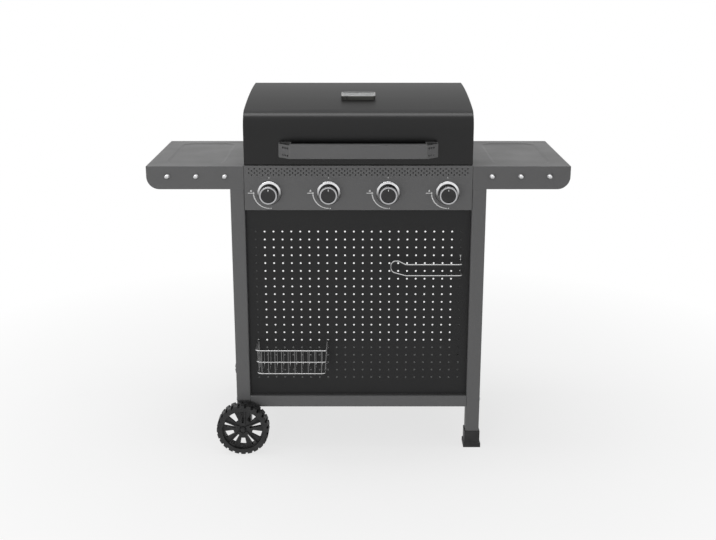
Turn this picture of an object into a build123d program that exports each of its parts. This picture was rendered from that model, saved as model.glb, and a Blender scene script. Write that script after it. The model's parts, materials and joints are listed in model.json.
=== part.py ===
from build123d import *
import os
from math import asin, degrees, floor, radians, sin, sqrt

# A four-burner gas grill on an open cart, in millimetres with +Z up.
# Pieces are drawn with x = 0 in the middle, y measured back from the control panel's face
# and z from the floor; at the end they are moved so that the origin is the middle of the floor area.

# Cart as a whole
OVERALL_WIDTH = 1210.0      # tip to tip of the side shelves
CART_DEPTH = 446.0          # front to rear of the side shelves
SHELF_HEIGHT = 870.0        # shelf top above the floor
SHEET = 1.0                 # steel sheet of the shelves and panels
RUN_GAP = 0.3               # gap between pieces that move past each other
HOLE_SLACK = 0.15           # radial slack of a fixed rod or screw in its hole
SPIN_SLACK = 0.05           # radial slack of a turning or sliding fit

# Frame tubes
LEG_SPAN = 735.0            # outer face to outer face of the legs
LEG_SIZE = 41.0
TUBE_WALL = 1.5
TUBE_CORNER = 4.0           # outside radius of the tubes' long edges
RAIL_TOP = 167.5            # top of the lower rails above the floor
RAIL_HEIGHT = 36.5
SIDE_TUBE_WIDTH = 25.0      # width of the side rails and of the upper beams
BEAM_HEIGHT = 36.0
BEAM_DROP = 12.0            # top of the upper beams below the shelf top
RAIL_PLUG = 4.0             # end plate of a rail, which takes the frame screw
SCREW_R = 3.0
SCREW_HEAD_R = 6.0
SCREW_HEAD_HEIGHT = 3.5
SHELF_PLATE_FLANGE = 20.0   # turned-down edge of the bottom shelf

# Wheels and feet
WHEEL_R = 78.0
WHEEL_WIDTH = 45.0
WHEEL_GAP = 11.0            # leg face to the wheel's inner face
TREAD_DEPTH = 5.5
TREAD_NOTCH = 7.0
TREAD_LUGS = 24
RIM_R = 61.0                # inside of the tyre band
WEB_THICK = 8.0
WEB_RECESS = 13.0           # web's face behind the tyre's face
ARM_RECESS = 8.0            # arm's face behind the tyre's face
ARM_INNER = 12.0            # width of an arm at the hub
ARM_OUTER = 20.0            # width of an arm at the rim
ARM_RIB = 3.6               # rib left on each side of an arm's slot
HUB_R = 16.0
HUB_RECESS = 12.0           # hub's outer end behind the tyre's face
WHEEL_ARMS = 5
FIRST_ARM = 270.0           # direction of the first window in degrees
FAN_HALF_ANGLE = 11.0
FAN_START = 29.0            # axle to the window's inner end
HUB_BAND = 5.0              # web left around the hub
RIM_BAND = 4.0              # web left inside the tyre band
AXLE_R = 5.0
AXLE_COVER = 24.0           # leg metal below the axle's centre
NUT_R = 9.0
NUT_HEIGHT = 9.0
NUT_BORE = 6.5
NUT_CROWN_R = 5.5
FOOT_HEIGHT = 52.0
FOOT_WALL = 2.6
FOOT_FLOOR = 8.0
FOOT_FLARE = 3.0
FOOT_FLARE_HEIGHT = 15.0
FOOT_LEDGE = 0.3

# Side shelves
APRON_HEIGHT = 66.0
APRON_CORNER = 36.0
END_FLANGE = 30.0
FIELD_BORDER = 45.0         # plain border around the sunk field
FIELD_INNER_BORDER = 62.0
FIELD_CORNER = 40.0
FIELD_SINK = 1.8
FIELD_SLOPE = 8.0           # width of the sloping edge of the sunk field
PEG_FROM_LEG = 13.5         # leg's outer face to the first peg
PEG_FROM_END = 60.0         # last peg to the shelf's end
PEG_COUNT = 3
PEG_DROP = 29.0
PEG_HEAD_R = 7.0
PEG_NECK_R = 4.0
PEG_REACH = 15.0
PEG_HEAD_THICK = 6.0
PEG_RIVET_R = 2.5
PEG_NUT_R = 5.0
PEG_NUT_THICK = 4.0
BRACE_ARM = 70.0
BRACE_DROP = 55.0
BRACE_SHEET = 2.0
BRACE_MARGIN = 3.0

# Control panel
PANEL_RISE = 2.0            # top of the control panel above the shelf top
CONTROL_HEIGHT = 129.0
PANEL_GAP = 0.5             # panel edge to leg face
PANEL_FLANGE = 15.0
VENT_PITCH = 15.6
VENT_ROW_STEP = 5.85
VENT_ROWS = 4
VENT_R = 2.0
VENT_DROP = 9.0
VENT_MARGIN = 13.0
BURNERS = 4
KNOB_END = 71.0             # panel end to the first knob's axis
KNOB_DROP = 78.5            # panel top to the knobs' axes

# Pegboard panel
PEGBOARD_SETBACK = 17.0     # front face behind the control panel's face
PEG_HOLE_R = 2.6
PEG_PITCH_X = 26.0
PEG_PITCH_Z = 23.85
PEG_MARGIN_X = 26.0
PEG_TOP_MARGIN = 68.0
PEG_BOTTOM_MARGIN = 50.0

# Knobs, stems and valves
KNOB_R = 25.5
KNOB_BACK_R = 23.0
KNOB_FACE_R = 20.5
KNOB_REACH = 44.0
KNOB_CLEAR = 8.0            # knob's back in front of the panel
KNOB_FACE_SINK = 1.5
KNOB_RIM_ROUND = 2.0
KNOB_SHOULDER = 10.0        # front of the knob back to its widest part
BEZEL_R = 35.0
BEZEL_BAND = 8.5
BEZEL_HEIGHT = 9.0
BEZEL_LIP = 2.0
STEM_R = 4.0
STEM_CLEAR = 2.0            # stem to the edge of the panel's hole
STEM_IN_KNOB = 22.0
STEM_IN_VALVE = 18.0
PUSH_TRAVEL = 3.0
VALVE_ROOM = 80.0           # control panel's face to the firebox wall
VALVE_LENGTH = 38.0
VALVE_WIDTH = 26.0
VALVE_HEIGHT = 32.0
NOZZLE_R = 4.0
NOZZLE_REACH = 16.0
NOZZLE_STOP = 2.0           # nozzle tip in front of the firebox wall
MANIFOLD_SIZE = 20.0
MANIFOLD_WALL = 2.0
MANIFOLD_END = 16.0         # manifold's end to the firebox's side
MANIFOLD_TAB = 3.0
MANIFOLD_BACK = 8.0         # manifold's rear face behind the valves
INLET_R = 8.0
INLET_LENGTH = 22.0
INLET_BORE_R = 4.5
INLET_NUT_R = 10.0
INLET_NUT_HEIGHT = 8.0

# Lid
LID_SETBACK = 6.0           # lid's face behind the control panel's face
LID_REAR_SETBACK = 10.0
LID_SHEET = 1.2
LID_LIFT = 1.5              # lid's lower edge above the control panel's top
LID_HEIGHT = 185.5
LID_FRONT = 143.5           # height at which the front would meet the arched top
LID_BEND = 52.0
LID_REAR_BEND = 6.0
LID_HEM = 5.0
BUMPER_WIDTH = 14.0
BUMPER_X = 280.0
HANDLE_HEIGHT = 38.0
HANDLE_RISE = 28.0          # above the lid's lower edge
HANDLE_REACH = 64.0         # handle's face in front of the lid's face
HANDLE_DEPTH = 32.0
HANDLE_BAR = 381.0
HANDLE_SPAN = 448.0
HANDLE_WALL = 2.0
BRACKET_SLOPE = 30.0        # depth of the bracket's angled face
HANDLE_HOLE_R = 3.4
HANDLE_HOLES = 3
HANDLE_HOLE_ROW = 20.0      # between the two rows of cooling holes
HANDLE_HOLE_START = 9.5     # bar's end to the first hole, along the bracket's face
HANDLE_HOLE_STEP = 9.0
BOLT_R = 2.5
BOLT_HEAD_R = 5.0
BOLT_HEAD_THICK = 3.5
BOLT_GRIP = 6.0
BOLT_ROW = 24.0
HINGE_X = 245.0
HINGE_OUT = 10.0            # hinge axis behind the lid's rear wall
HINGE_RISE = 10.5           # hinge axis above the lid's lower edge
EAR_GAP = 2.0
EAR_THICK = 3.0
EAR_SIDE_GAP = 0.5
EAR_PLATE = 32.0            # top of the lid ear's plate above the hinge axis
HINGE_PIN_R = 3.0
HINGE_PIN_HEAD = 2.0
HINGE_PIN_HEAD_R = 5.0
HINGE_PLATE_DROP = 32.0
HINGE_UNDER = 4.0           # bracket's bridge below the lid's edge

# Lid thermometer
GAUGE_BACK = 165.0          # its middle behind the lid's face
GAUGE_WIDTH = 100.0
GAUGE_DEPTH = 54.0
GAUGE_HEIGHT = 12.0
GAUGE_BEZEL = 5.0
GAUGE_CORNER = 9.0
GAUGE_FLOOR = 4.0
LENS_THICK = 1.5
LENS_SINK = 0.8
LENS_LEDGE = 1.5
NEEDLE_POST_R = 1.5
NEEDLE_HUB_R = 3.6
NEEDLE_LENGTH = 27.0
NEEDLE_THICK = 1.0
NEEDLE_WIDTH = 1.6
NEEDLE_FROM_FRONT = 11.0
NEEDLE_REST = 60.0          # degrees left of straight up when cold
PROBE_R = 3.5
PROBE_LENGTH = 50.0

# Firebox and what it holds
RIM_GAP = 7.0               # lid wall to firebox wall
RIM_RISE = 8.0              # rim above the control panel's top
BOX_SHEET = 1.5
BOX_HEIGHT = 128.0
DRAIN_DROP = 15.0           # fall of the floor to the drain
DRAIN_WIDTH = 100.0
DRAIN_DEPTH = 60.0
SHOULDER_TOP = 34.0         # rim to the start of the sloping shoulder
SHOULDER_FALL = 31.0
HANGER_WIDTH = 32.0
HANGER_INSET = 20.0         # hanger flange's end to the leg
LEDGE = 12.0
LEDGE_THICK = 2.0
GRATE_DROP = 30.0           # grate seat below the rim
GRATE_THICK = 12.0
GRATE_FRAME = 10.0
GRATE_PITCH = 17.0
GRATE_SLOT = 9.0
GRATE_GAP = 1.0
BURNER_R = 12.5
BURNER_WALL = 1.0
BURNER_PLUG = 3.0
BURNER_LEAD = 6.0           # open end in front of the firebox wall
PORT_R = 1.25
PORT_STEP = 20.0
PORT_MARGIN = 40.0
PLATE_RISE = 32.0
PLATE_SHEET = 1.2
PLATE_SIDE_GAP = 8.0
PLATE_OVER_BURNER = 4.0
SPARK_R = 3.5
SPARK_LENGTH = 36.0
SPARK_SIDE = 24.0
SPARK_TIP_R = 1.0
SPARK_TIP = 10.0
RACK_RISE = 83.0            # warming rack above the grates
RACK_DEPTH = 112.0
RACK_REAR_GAP = 14.0
RACK_WIRES = 8
RACK_WIRE_R = 3.0
RACK_BEND = 14.0
WELD_SINK = 0.6             # how far crossing wires are melted into each other

# Grease tray
TRAY_WIDTH = 310.0
TRAY_DEPTH = 22.0
TRAY_FRONT_GAP = 12.0
TRAY_SHEET = 1.2
TRAY_LIP = 13.0
RUNNER_SHEET = 1.5
RUNNER_DROP = 28.0          # runner's lip below the drain
PULL_REACH = 15.0
PULL_DROP = 15.0
CUP_R = 34.0
CUP_BASE_R = 29.0
CUP_WALL = 0.8
CUP_HEIGHT = 42.0
CUP_RIM = 4.0

# Wire accessories
BASKET_WIRE_R = 1.75
BASKET_THIN_R = 1.0
BASKET_DEPTH = 95.0         # panel face to the front rail's middle
BASKET_HEIGHT = 71.0
BASKET_TAPER = 5.0
BASKET_COLUMNS = 8          # hole columns between the two hooks
BASKET_ROW = 5              # hook row, counted up from the lowest
BASKET_UPRIGHTS = 10
BASKET_SIDE_WIRES = 3
BASKET_CORNER = 12.0
BASKET_FLOOR_BEND = 6.0
HOOK_RISE = 18.0
HOOK_BACK = 7.0
HOOK_BEND = 4.0
FACE_BEND = 2.5             # tight bend where a wire turns down the panel's face
HOLDER_WIRE_R = 2.0
HOLDER_REACH = 50.0
HOLDER_LENGTH = 205.0
HOLDER_ARM_GAP = 33.0
HOLDER_HOOK_ROW = 3         # rows counted down from the top
HOLDER_PIN_ROW = 5
HOLDER_LOOP = 43.0
HOLDER_LOOP_RISE = 11.0
HOLDER_LOOP_LIFT = 12.0
HOLDER_BEND = 9.0
HOLDER_LOOP_BEND = 15.0

# Places worked out from the sizes above
BAY_HALF = LEG_SPAN / 2 - LEG_SIZE
LEG_X = LEG_SPAN / 2 - LEG_SIZE / 2
LEG_FRONT = SHEET
LEG_REAR = CART_DEPTH - SHEET - LEG_SIZE
LEG_TOP = SHELF_HEIGHT - SHEET
RAIL_BOTTOM = RAIL_TOP - RAIL_HEIGHT
RAIL_MID = RAIL_TOP - RAIL_HEIGHT / 2
BEAM_TOP = SHELF_HEIGHT - BEAM_DROP
SHELF_INNER = BAY_HALF + PANEL_GAP
SHELF_OUTER = OVERALL_WIDTH / 2
PANEL_HALF = BAY_HALF - PANEL_GAP
CONTROL_TOP = SHELF_HEIGHT + PANEL_RISE
CONTROL_BOTTOM = CONTROL_TOP - CONTROL_HEIGHT
KNOB_Z = CONTROL_TOP - KNOB_DROP
KNOB_PITCH = 2 * (PANEL_HALF - KNOB_END) / (BURNERS - 1)
KNOB_XS = [KNOB_END - PANEL_HALF + KNOB_PITCH * i for i in range(BURNERS)]
STEM_HOLE_R = STEM_R + STEM_CLEAR
PEGBOARD_TOP = CONTROL_BOTTOM
PEG_COLUMNS = floor((2 * PANEL_HALF - 2 * PEG_MARGIN_X) / PEG_PITCH_X) + 1
PEG_ROWS = floor((PEGBOARD_TOP - RAIL_TOP - PEG_TOP_MARGIN - PEG_BOTTOM_MARGIN) / PEG_PITCH_Z) + 1
PEG_XS = [PEG_PITCH_X * (i - (PEG_COLUMNS - 1) / 2) for i in range(PEG_COLUMNS)]
PEG_ZS = [PEGBOARD_TOP - PEG_TOP_MARGIN - PEG_PITCH_Z * i for i in range(PEG_ROWS)]
LID_BOTTOM = CONTROL_TOP + LID_LIFT
LID_TOP = LID_BOTTOM + LID_HEIGHT
LID_REAR = CART_DEPTH - LID_REAR_SETBACK
LID_HALF = BAY_HALF - PANEL_GAP
HINGE_Y = LID_REAR + HINGE_OUT
HINGE_Z = LID_BOTTOM + HINGE_RISE
EAR_R = HINGE_OUT - EAR_GAP
BOX_FRONT = LID_SETBACK + LID_SHEET + RIM_GAP
BOX_REAR = LID_REAR - LID_SHEET - RIM_GAP
BOX_HALF = LID_HALF - LID_SHEET - RIM_GAP
BOX_RIM = CONTROL_TOP + RIM_RISE
BOX_FLOOR = BOX_RIM - BOX_HEIGHT
DRAIN_Z = BOX_FLOOR - DRAIN_DROP
DRAIN_Y = (VALVE_ROOM + BOX_REAR) / 2
INNER_HALF = BOX_HALF - BOX_SHEET
GRATE_SEAT = BOX_RIM - GRATE_DROP
GRATE_TOP = GRATE_SEAT + GRATE_THICK
PLATE_SEAT = KNOB_Z + BURNER_R + PLATE_OVER_BURNER + LEDGE_THICK
WHEEL_X = -LEG_X
BASKET_REACH = BASKET_DEPTH + BASKET_WIRE_R - PEGBOARD_SETBACK
FRONT_REACH = max(BASKET_REACH, WHEEL_GAP + WHEEL_WIDTH - LEG_FRONT, HANDLE_REACH - LID_SETBACK)
REAR_REACH = WHEEL_GAP + WHEEL_WIDTH - SHEET
ORIGIN_BACK = (CART_DEPTH + REAR_REACH - FRONT_REACH) / 2


def block(x0, x1, y0, y1, z0, z1):
    """A box between six planes, given in any order."""
    middle = ((x0 + x1) / 2, (y0 + y1) / 2, (z0 + z1) / 2)
    return Pos(*middle) * Box(abs(x1 - x0), abs(y1 - y0), abs(z1 - z0))


def rod(start, end, radius):
    """A round bar from one point to another."""
    line = Vector(*end) - Vector(*start)
    place = Plane(origin=start, z_dir=line)
    return place * Cylinder(radius, line.length, align=(Align.CENTER, Align.CENTER, Align.MIN))


def prism_x(outline, x0, x1):
    """A straight bar along X whose section is an outline of (y, z) points."""
    face = Face(Wire.make_polygon([(x0, y, z) for y, z in outline], close=True))
    return Solid.extrude(face, Vector(x1 - x0, 0, 0))


def round_edges(solid, direction, radius):
    """The solid with its edges along one direction rounded."""
    return fillet(solid.edges().filter_by(direction), radius)


def turned(outline, at, facing):
    """A turned piece: (radius, height) points spun about an axis through a place."""
    face = Face(Wire.make_polygon([(r, 0, h) for r, h in outline], close=True))
    return Plane(origin=at, z_dir=facing) * Solid.revolve(face, 360, Axis.Z)


def bent_wire(points, radii, radius, close=False):
    """A round wire along straight runs joined by bends."""
    path = FilletPolyline(*points, radius=radii, close=close)
    start = Plane(origin=path @ 0, z_dir=path % 0)
    return sweep(start * Circle(radius), path=path)


def holed_sheet(corner, opposite, y, thick, holes):
    """A sheet facing the front between two (x, z) corners, with (x, z, radius) holes."""
    (x0, z0), (x1, z1) = corner, opposite
    outline = Wire.make_polygon([(x0, y, z0), (x1, y, z0), (x1, y, z1), (x0, y, z1)], close=True)
    rings = [Wire.make_circle(r, Plane(origin=(x, y, z), z_dir=(0, -1, 0))) for x, z, r in holes]
    return Solid.extrude(Face(outline, rings), Vector(0, thick, 0))


def save(name, *solids):
    """Moves a piece to the shared frame and writes it to its file."""
    shape = solids[0] if len(solids) == 1 else Compound(list(solids))
    export_step(Pos(0, -ORIGIN_BACK, 0) * shape, "parts/" + name + ".step")


# Frame: legs, rails, beams, screws and the bottom shelf

def leg(x, y, bottom, holes):
    """A square tube leg with round holes cut through it."""
    half = LEG_SIZE / 2
    wall = TUBE_WALL
    tube = block(x - half, x + half, y, y + LEG_SIZE, bottom, LEG_TOP)
    core = block(x - half + wall, x + half - wall, y + wall, y + LEG_SIZE - wall, bottom, LEG_TOP)
    return round_edges(tube, Axis.Z, TUBE_CORNER) - [round_edges(core, Axis.Z, TUBE_CORNER - wall)] - holes


def axle_hole(y):
    """The hole for the axle through one of the left legs."""
    return rod((WHEEL_X, y, WHEEL_R), (WHEEL_X, y + LEG_SIZE, WHEEL_R), AXLE_R + HOLE_SLACK)


def screw_hole(side, y):
    """The hole for the frame screw through one leg into the rail's end plate."""
    start = (side * (LEG_SPAN / 2), y + LEG_SIZE / 2, RAIL_MID)
    end = (side * (BAY_HALF - RAIL_PLUG), y + LEG_SIZE / 2, RAIL_MID)
    return rod(start, end, SCREW_R + HOLE_SLACK)


def cross_rail(y):
    """A lower rail between two legs, with end plates drilled for the frame screws."""
    wall = TUBE_WALL
    inner = BAY_HALF - RAIL_PLUG
    rail = block(-BAY_HALF, BAY_HALF, y, y + LEG_SIZE, RAIL_BOTTOM, RAIL_TOP)
    core = block(-inner, inner, y + wall, y + LEG_SIZE - wall, RAIL_BOTTOM + wall, RAIL_TOP - wall)
    rail = round_edges(rail, Axis.X, TUBE_CORNER) - round_edges(core, Axis.X, TUBE_CORNER - wall)
    return rail - [screw_hole(-1, y), screw_hole(1, y)]


def side_tube(side, bottom, top):
    """A tube from the front leg to the rear leg on one side."""
    half = SIDE_TUBE_WIDTH / 2
    wall = TUBE_WALL
    x = side * LEG_X
    tube = block(x - half, x + half, LEG_FRONT + LEG_SIZE, LEG_REAR, bottom, top)
    thin = half - wall
    core = block(x - thin, x + thin, LEG_FRONT, LEG_REAR + LEG_SIZE, bottom + wall, top - wall)
    return round_edges(tube, Axis.Y, TUBE_CORNER) - round_edges(core, Axis.Y, TUBE_CORNER - wall)


def frame_screw(side, y):
    """A pan-head screw through the leg into the rail's end plate."""
    mid = y + LEG_SIZE / 2
    face = side * LEG_SPAN / 2
    shank = rod((face, mid, RAIL_MID), (side * (BAY_HALF - RAIL_PLUG), mid, RAIL_MID), SCREW_R)
    half = SCREW_HEAD_HEIGHT / 2
    profile = [(0, 0), (SCREW_HEAD_R, 0), (SCREW_HEAD_R, half)]
    profile += [(SCREW_HEAD_R - half, SCREW_HEAD_HEIGHT), (0, SCREW_HEAD_HEIGHT)]
    return shank + turned(profile, (face, mid, RAIL_MID), (side, 0, 0))


def bottom_shelf():
    """The plate on the lower rails, with edges turned down between the legs."""
    front = PEGBOARD_SETBACK + PANEL_FLANGE + PANEL_GAP
    rear = LEG_REAR + LEG_SIZE - PANEL_GAP
    plate = block(-PANEL_HALF, PANEL_HALF, front, rear, RAIL_TOP, RAIL_TOP + SHEET)
    for side in (-1, 1):
        edge = side * PANEL_HALF
        low = RAIL_TOP - SHELF_PLATE_FLANGE
        plate += block(edge, edge - side * SHEET, LEG_FRONT + LEG_SIZE, LEG_REAR, low, RAIL_TOP)
    return plate


# Wheels, axle and feet

def wedge(start, end, half_start, half_end, low, high):
    """A tapered plate pointing along X from one radius to another, between two heights."""
    outline = [(start, -half_start), (end, -half_end), (end, half_end), (start, half_start)]
    face = Face(Wire.make_polygon([(x, w, low) for x, w in outline], close=True))
    return Solid.extrude(face, Vector(0, 0, high - low))


def wheel(y, outward):
    """A one-piece plastic wheel: lugged band, web with windows, raised slotted arms and hub."""
    half = WHEEL_WIDTH / 2
    front = half - WEB_RECESS
    back = front - WEB_THICK
    hub_in = half + WHEEL_GAP - RUN_GAP
    hub_out = half - HUB_RECESS
    bore = AXLE_R + SPIN_SLACK
    band = [(bore, -hub_in), (HUB_R, -hub_in), (HUB_R, back), (RIM_R, back), (RIM_R, -half)]
    edge = TREAD_DEPTH / 2
    band += [(WHEEL_R - edge, -half), (WHEEL_R, edge - half), (WHEEL_R, half - edge), (WHEEL_R - edge, half)]
    band += [(RIM_R, half), (RIM_R, front), (HUB_R, front), (HUB_R, hub_out), (bore, hub_out)]
    body = Solid.revolve(Face(Wire.make_polygon([(r, 0, h) for r, h in band], close=True)), 360, Axis.Z)
    arm_turns = [Rot(0, 0, FIRST_ARM + 360 * (k + 0.5) / WHEEL_ARMS) for k in range(WHEEL_ARMS)]
    arm = wedge(HUB_R - HUB_BAND, RIM_R + RIM_BAND, ARM_INNER / 2, ARM_OUTER / 2, back, half - ARM_RECESS)
    body = body + [turn * arm for turn in arm_turns]
    cuts = []
    step = 360 / TREAD_LUGS
    for k in range(TREAD_LUGS):
        for row, turn in ((half / 2, step / 2), (-half / 2, 0)):
            place = Rot(0, 0, 90 + k * step + turn) * Pos(WHEEL_R, 0, row)
            cuts.append(place * Box(2 * TREAD_DEPTH, TREAD_NOTCH, half))
    outer = RIM_R - RIM_BAND
    spread = sin(radians(FAN_HALF_ANGLE))
    fan = wedge(FAN_START, outer, FAN_START * spread, outer * spread, -half, half)
    cuts += [Rot(0, 0, FIRST_ARM + 360 * k / WHEEL_ARMS) * fan for k in range(WHEEL_ARMS)]
    slot = wedge(HUB_R + HUB_BAND, outer, ARM_INNER / 2 - ARM_RIB, ARM_OUTER / 2 - ARM_RIB, -half, half)
    cuts += [turn * slot for turn in arm_turns]
    place = Plane(origin=(WHEEL_X, y, WHEEL_R), x_dir=(-outward, 0, 0), z_dir=(0, outward, 0))
    return place * (body - cuts)


def axle_nut(y, outward):
    """A domed cap nut on the axle's end."""
    bore = AXLE_R + HOLE_SLACK
    profile = [(bore, 0), (NUT_R, 0), (NUT_R, NUT_HEIGHT / 2), (NUT_CROWN_R, NUT_HEIGHT), (0, NUT_HEIGHT)]
    profile += [(0, NUT_BORE), (bore, NUT_BORE)]
    return turned(profile, (WHEEL_X, y, WHEEL_R), (0, outward, 0))


def foot(y):
    """A flared plastic cap that the right leg stands in."""
    half = LEG_SIZE / 2
    outer = half + FOOT_WALL
    base = outer + FOOT_FLARE
    mid = y + half
    socket = half + HOLE_SLACK
    collar = block(LEG_X - outer, LEG_X + outer, mid - outer, mid + outer, 0, FOOT_HEIGHT)
    flare = block(LEG_X - base, LEG_X + base, mid - base, mid + base, 0, FOOT_FLARE_HEIGHT)
    flare = chamfer(flare.faces().sort_by(Axis.Z)[-1].edges(), FOOT_FLARE - FOOT_LEDGE)
    cup = collar + flare
    return cup - block(LEG_X - socket, LEG_X + socket, mid - socket, mid + socket, FOOT_FLOOR, FOOT_HEIGHT)


# Side shelves, their brackets and pegs

def peg_places(side):
    """The pegs' (x, z) places on one apron."""
    first, last = LEG_SPAN / 2 + PEG_FROM_LEG, SHELF_OUTER - PEG_FROM_END
    step = (last - first) / (PEG_COUNT - 1)
    return [(side * (first + step * i), SHELF_HEIGHT - PEG_DROP) for i in range(PEG_COUNT)]


def side_shelf(side):
    """A folded pan: top with a shallow sunk field, front and rear aprons and a short end flange."""
    low = SHELF_HEIGHT - APRON_HEIGHT
    inner, outer = side * SHELF_INNER, side * SHELF_OUTER
    shelf = block(inner, outer, 0, CART_DEPTH, LEG_TOP, SHELF_HEIGHT)
    for y in (0, CART_DEPTH - SHEET):
        apron = block(inner, outer, y, y + SHEET, low, SHELF_HEIGHT)
        corner = apron.edges().filter_by(Axis.Y).sort_by_distance((outer, y, low))[0]
        shelf += fillet(corner, APRON_CORNER)
    shelf += block(outer, outer - side * SHEET, 0, CART_DEPTH, SHELF_HEIGHT - END_FLANGE, SHELF_HEIGHT)
    x0, x1 = inner + side * FIELD_INNER_BORDER, outer - side * FIELD_BORDER
    width, depth = abs(x1 - x0), CART_DEPTH - 2 * FIELD_BORDER
    outlines = []
    for inset, sink in ((0, 0), (FIELD_SLOPE, FIELD_SINK)):
        place = Pos((x0 + x1) / 2, CART_DEPTH / 2, SHELF_HEIGHT - sink)
        sheet = RectangleRounded(width - 2 * inset, depth - 2 * inset, FIELD_CORNER - inset)
        outlines.append(place * sheet)
    well = loft(outlines, ruled=True)
    shelf = shelf + Pos(0, 0, -SHEET) * well - well
    holes = [rod((x, 0, z), (x, SHEET, z), PEG_RIVET_R + HOLE_SLACK) for x, z in peg_places(side)]
    return shelf - holes


def shelf_brace(side, y):
    """An angle bracket from a leg's outer face to the shelf's underside, with a gusset."""
    face = side * LEG_SPAN / 2
    tip = face + side * BRACE_ARM
    y0, y1 = y + BRACE_MARGIN, y + LEG_SIZE - BRACE_MARGIN
    low = LEG_TOP - BRACE_DROP
    brace = block(face, face + side * BRACE_SHEET, y0, y1, low, LEG_TOP)
    brace += block(face, tip, y0, y1, LEG_TOP - BRACE_SHEET, LEG_TOP)
    mid = (y0 + y1 - BRACE_SHEET) / 2
    web = Face(Wire.make_polygon([(face, mid, low), (tip, mid, LEG_TOP), (face, mid, LEG_TOP)], close=True))
    return brace + Solid.extrude(web, Vector(0, BRACE_SHEET, 0))


def utensil_peg(x, z):
    """A chromed mushroom peg riveted through the apron."""
    neck_end = PEG_REACH - PEG_HEAD_THICK
    crown = PEG_HEAD_THICK / 3
    profile = [(0, -SHEET - PEG_NUT_THICK), (PEG_NUT_R, -SHEET - PEG_NUT_THICK), (PEG_NUT_R, -SHEET)]
    profile += [(PEG_RIVET_R, -SHEET), (PEG_RIVET_R, 0), (PEG_NECK_R, 0), (PEG_NECK_R, neck_end)]
    profile += [(PEG_HEAD_R, neck_end + crown), (PEG_HEAD_R, neck_end + 2 * crown)]
    profile += [(PEG_HEAD_R - crown, PEG_REACH), (0, PEG_REACH)]
    return turned(profile, (x, 0, z), (0, -1, 0))


# Front panels

def control_panel():
    """The grey panel with vent holes, stem holes and flanges turned back on all sides."""
    columns = floor((2 * PANEL_HALF - 2 * VENT_MARGIN) / VENT_PITCH) + 1
    holes = [(x, KNOB_Z, STEM_HOLE_R) for x in KNOB_XS]
    for row in range(VENT_ROWS):
        count = columns - row % 2
        z = CONTROL_TOP - VENT_DROP - VENT_ROW_STEP * row
        holes += [(VENT_PITCH * (i - (count - 1) / 2), z, VENT_R) for i in range(count)]
    panel = holed_sheet((-PANEL_HALF, CONTROL_BOTTOM), (PANEL_HALF, CONTROL_TOP), 0, SHEET, holes)
    top = block(-PANEL_HALF, PANEL_HALF, SHEET, BOX_FRONT, CONTROL_TOP - SHEET, CONTROL_TOP)
    deep = PEGBOARD_SETBACK + PANEL_FLANGE
    bottom = block(-PANEL_HALF, PANEL_HALF, SHEET, deep, CONTROL_BOTTOM, CONTROL_BOTTOM + SHEET)
    sides = [block(s * PANEL_HALF, s * (PANEL_HALF - SHEET), SHEET, BOX_FRONT, CONTROL_BOTTOM, CONTROL_TOP)
             for s in (-1, 1)]
    return Part() + [panel, top, bottom] + sides


def pegboard():
    """The black front panel: round holes on a grid, with flanges turned back along its edges."""
    holes = [(x, z, PEG_HOLE_R) for x in PEG_XS for z in PEG_ZS]
    y0, y1 = PEGBOARD_SETBACK, PEGBOARD_SETBACK + PANEL_FLANGE
    panel = holed_sheet((-PANEL_HALF, RAIL_TOP), (PANEL_HALF, PEGBOARD_TOP), y0, SHEET, holes)
    flanges = [block(s * PANEL_HALF, s * (PANEL_HALF - SHEET), y0, y1, RAIL_TOP, PEGBOARD_TOP)
               for s in (-1, 1)]
    flanges += [block(-PANEL_HALF, PANEL_HALF, y0, y1, z, z + SHEET)
                for z in (RAIL_TOP, PEGBOARD_TOP - SHEET)]
    return Part() + [panel] + flanges


# Knobs, bezels, stems, valves and manifold

def knob(x):
    """A turned knob with a sunk face and a blind bore for the stem."""
    back, front = KNOB_CLEAR, KNOB_REACH
    rim = KNOB_RIM_ROUND
    bore = STEM_R + SPIN_SLACK
    deep = back + STEM_IN_KNOB + RUN_GAP
    profile = [(bore, back), (KNOB_BACK_R, back), (KNOB_R, front - KNOB_SHOULDER), (KNOB_R, front - rim)]
    profile += [(KNOB_R - rim, front), (KNOB_FACE_R + rim / 2, front), (KNOB_FACE_R, front - KNOB_FACE_SINK)]
    profile += [(0, front - KNOB_FACE_SINK), (0, deep), (bore, deep)]
    return turned(profile, (x, 0, KNOB_Z), (0, -1, 0))


def bezel(x):
    """A chromed ring on the panel around one knob, with a wide sloping face."""
    inner = BEZEL_R - BEZEL_BAND
    profile = [(inner, 0), (BEZEL_R, 0), (BEZEL_R, BEZEL_LIP), (inner + BEZEL_LIP, BEZEL_HEIGHT)]
    profile += [(inner, BEZEL_HEIGHT - BEZEL_LIP / 2)]
    return turned(profile, (x, 0, KNOB_Z), (0, -1, 0))


VALVE_REAR = VALVE_ROOM - NOZZLE_REACH - NOZZLE_STOP
VALVE_FRONT = VALVE_REAR - VALVE_LENGTH
MANIFOLD_TOP = KNOB_Z - VALVE_HEIGHT / 2
MANIFOLD_LOW = MANIFOLD_TOP - MANIFOLD_SIZE
MANIFOLD_END_X = BOX_HALF - MANIFOLD_END
MANIFOLD_REAR = VALVE_REAR + MANIFOLD_BACK
MANIFOLD_FRONT = MANIFOLD_REAR - MANIFOLD_SIZE
INLET_Y = MANIFOLD_REAR - MANIFOLD_SIZE / 2
INLET_Z = MANIFOLD_TOP - MANIFOLD_SIZE / 2


def stem(x):
    """The round spindle that carries the knob and slides into the valve."""
    return rod((x, -KNOB_CLEAR - STEM_IN_KNOB, KNOB_Z), (x, VALVE_FRONT + STEM_IN_VALVE, KNOB_Z), STEM_R)


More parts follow.
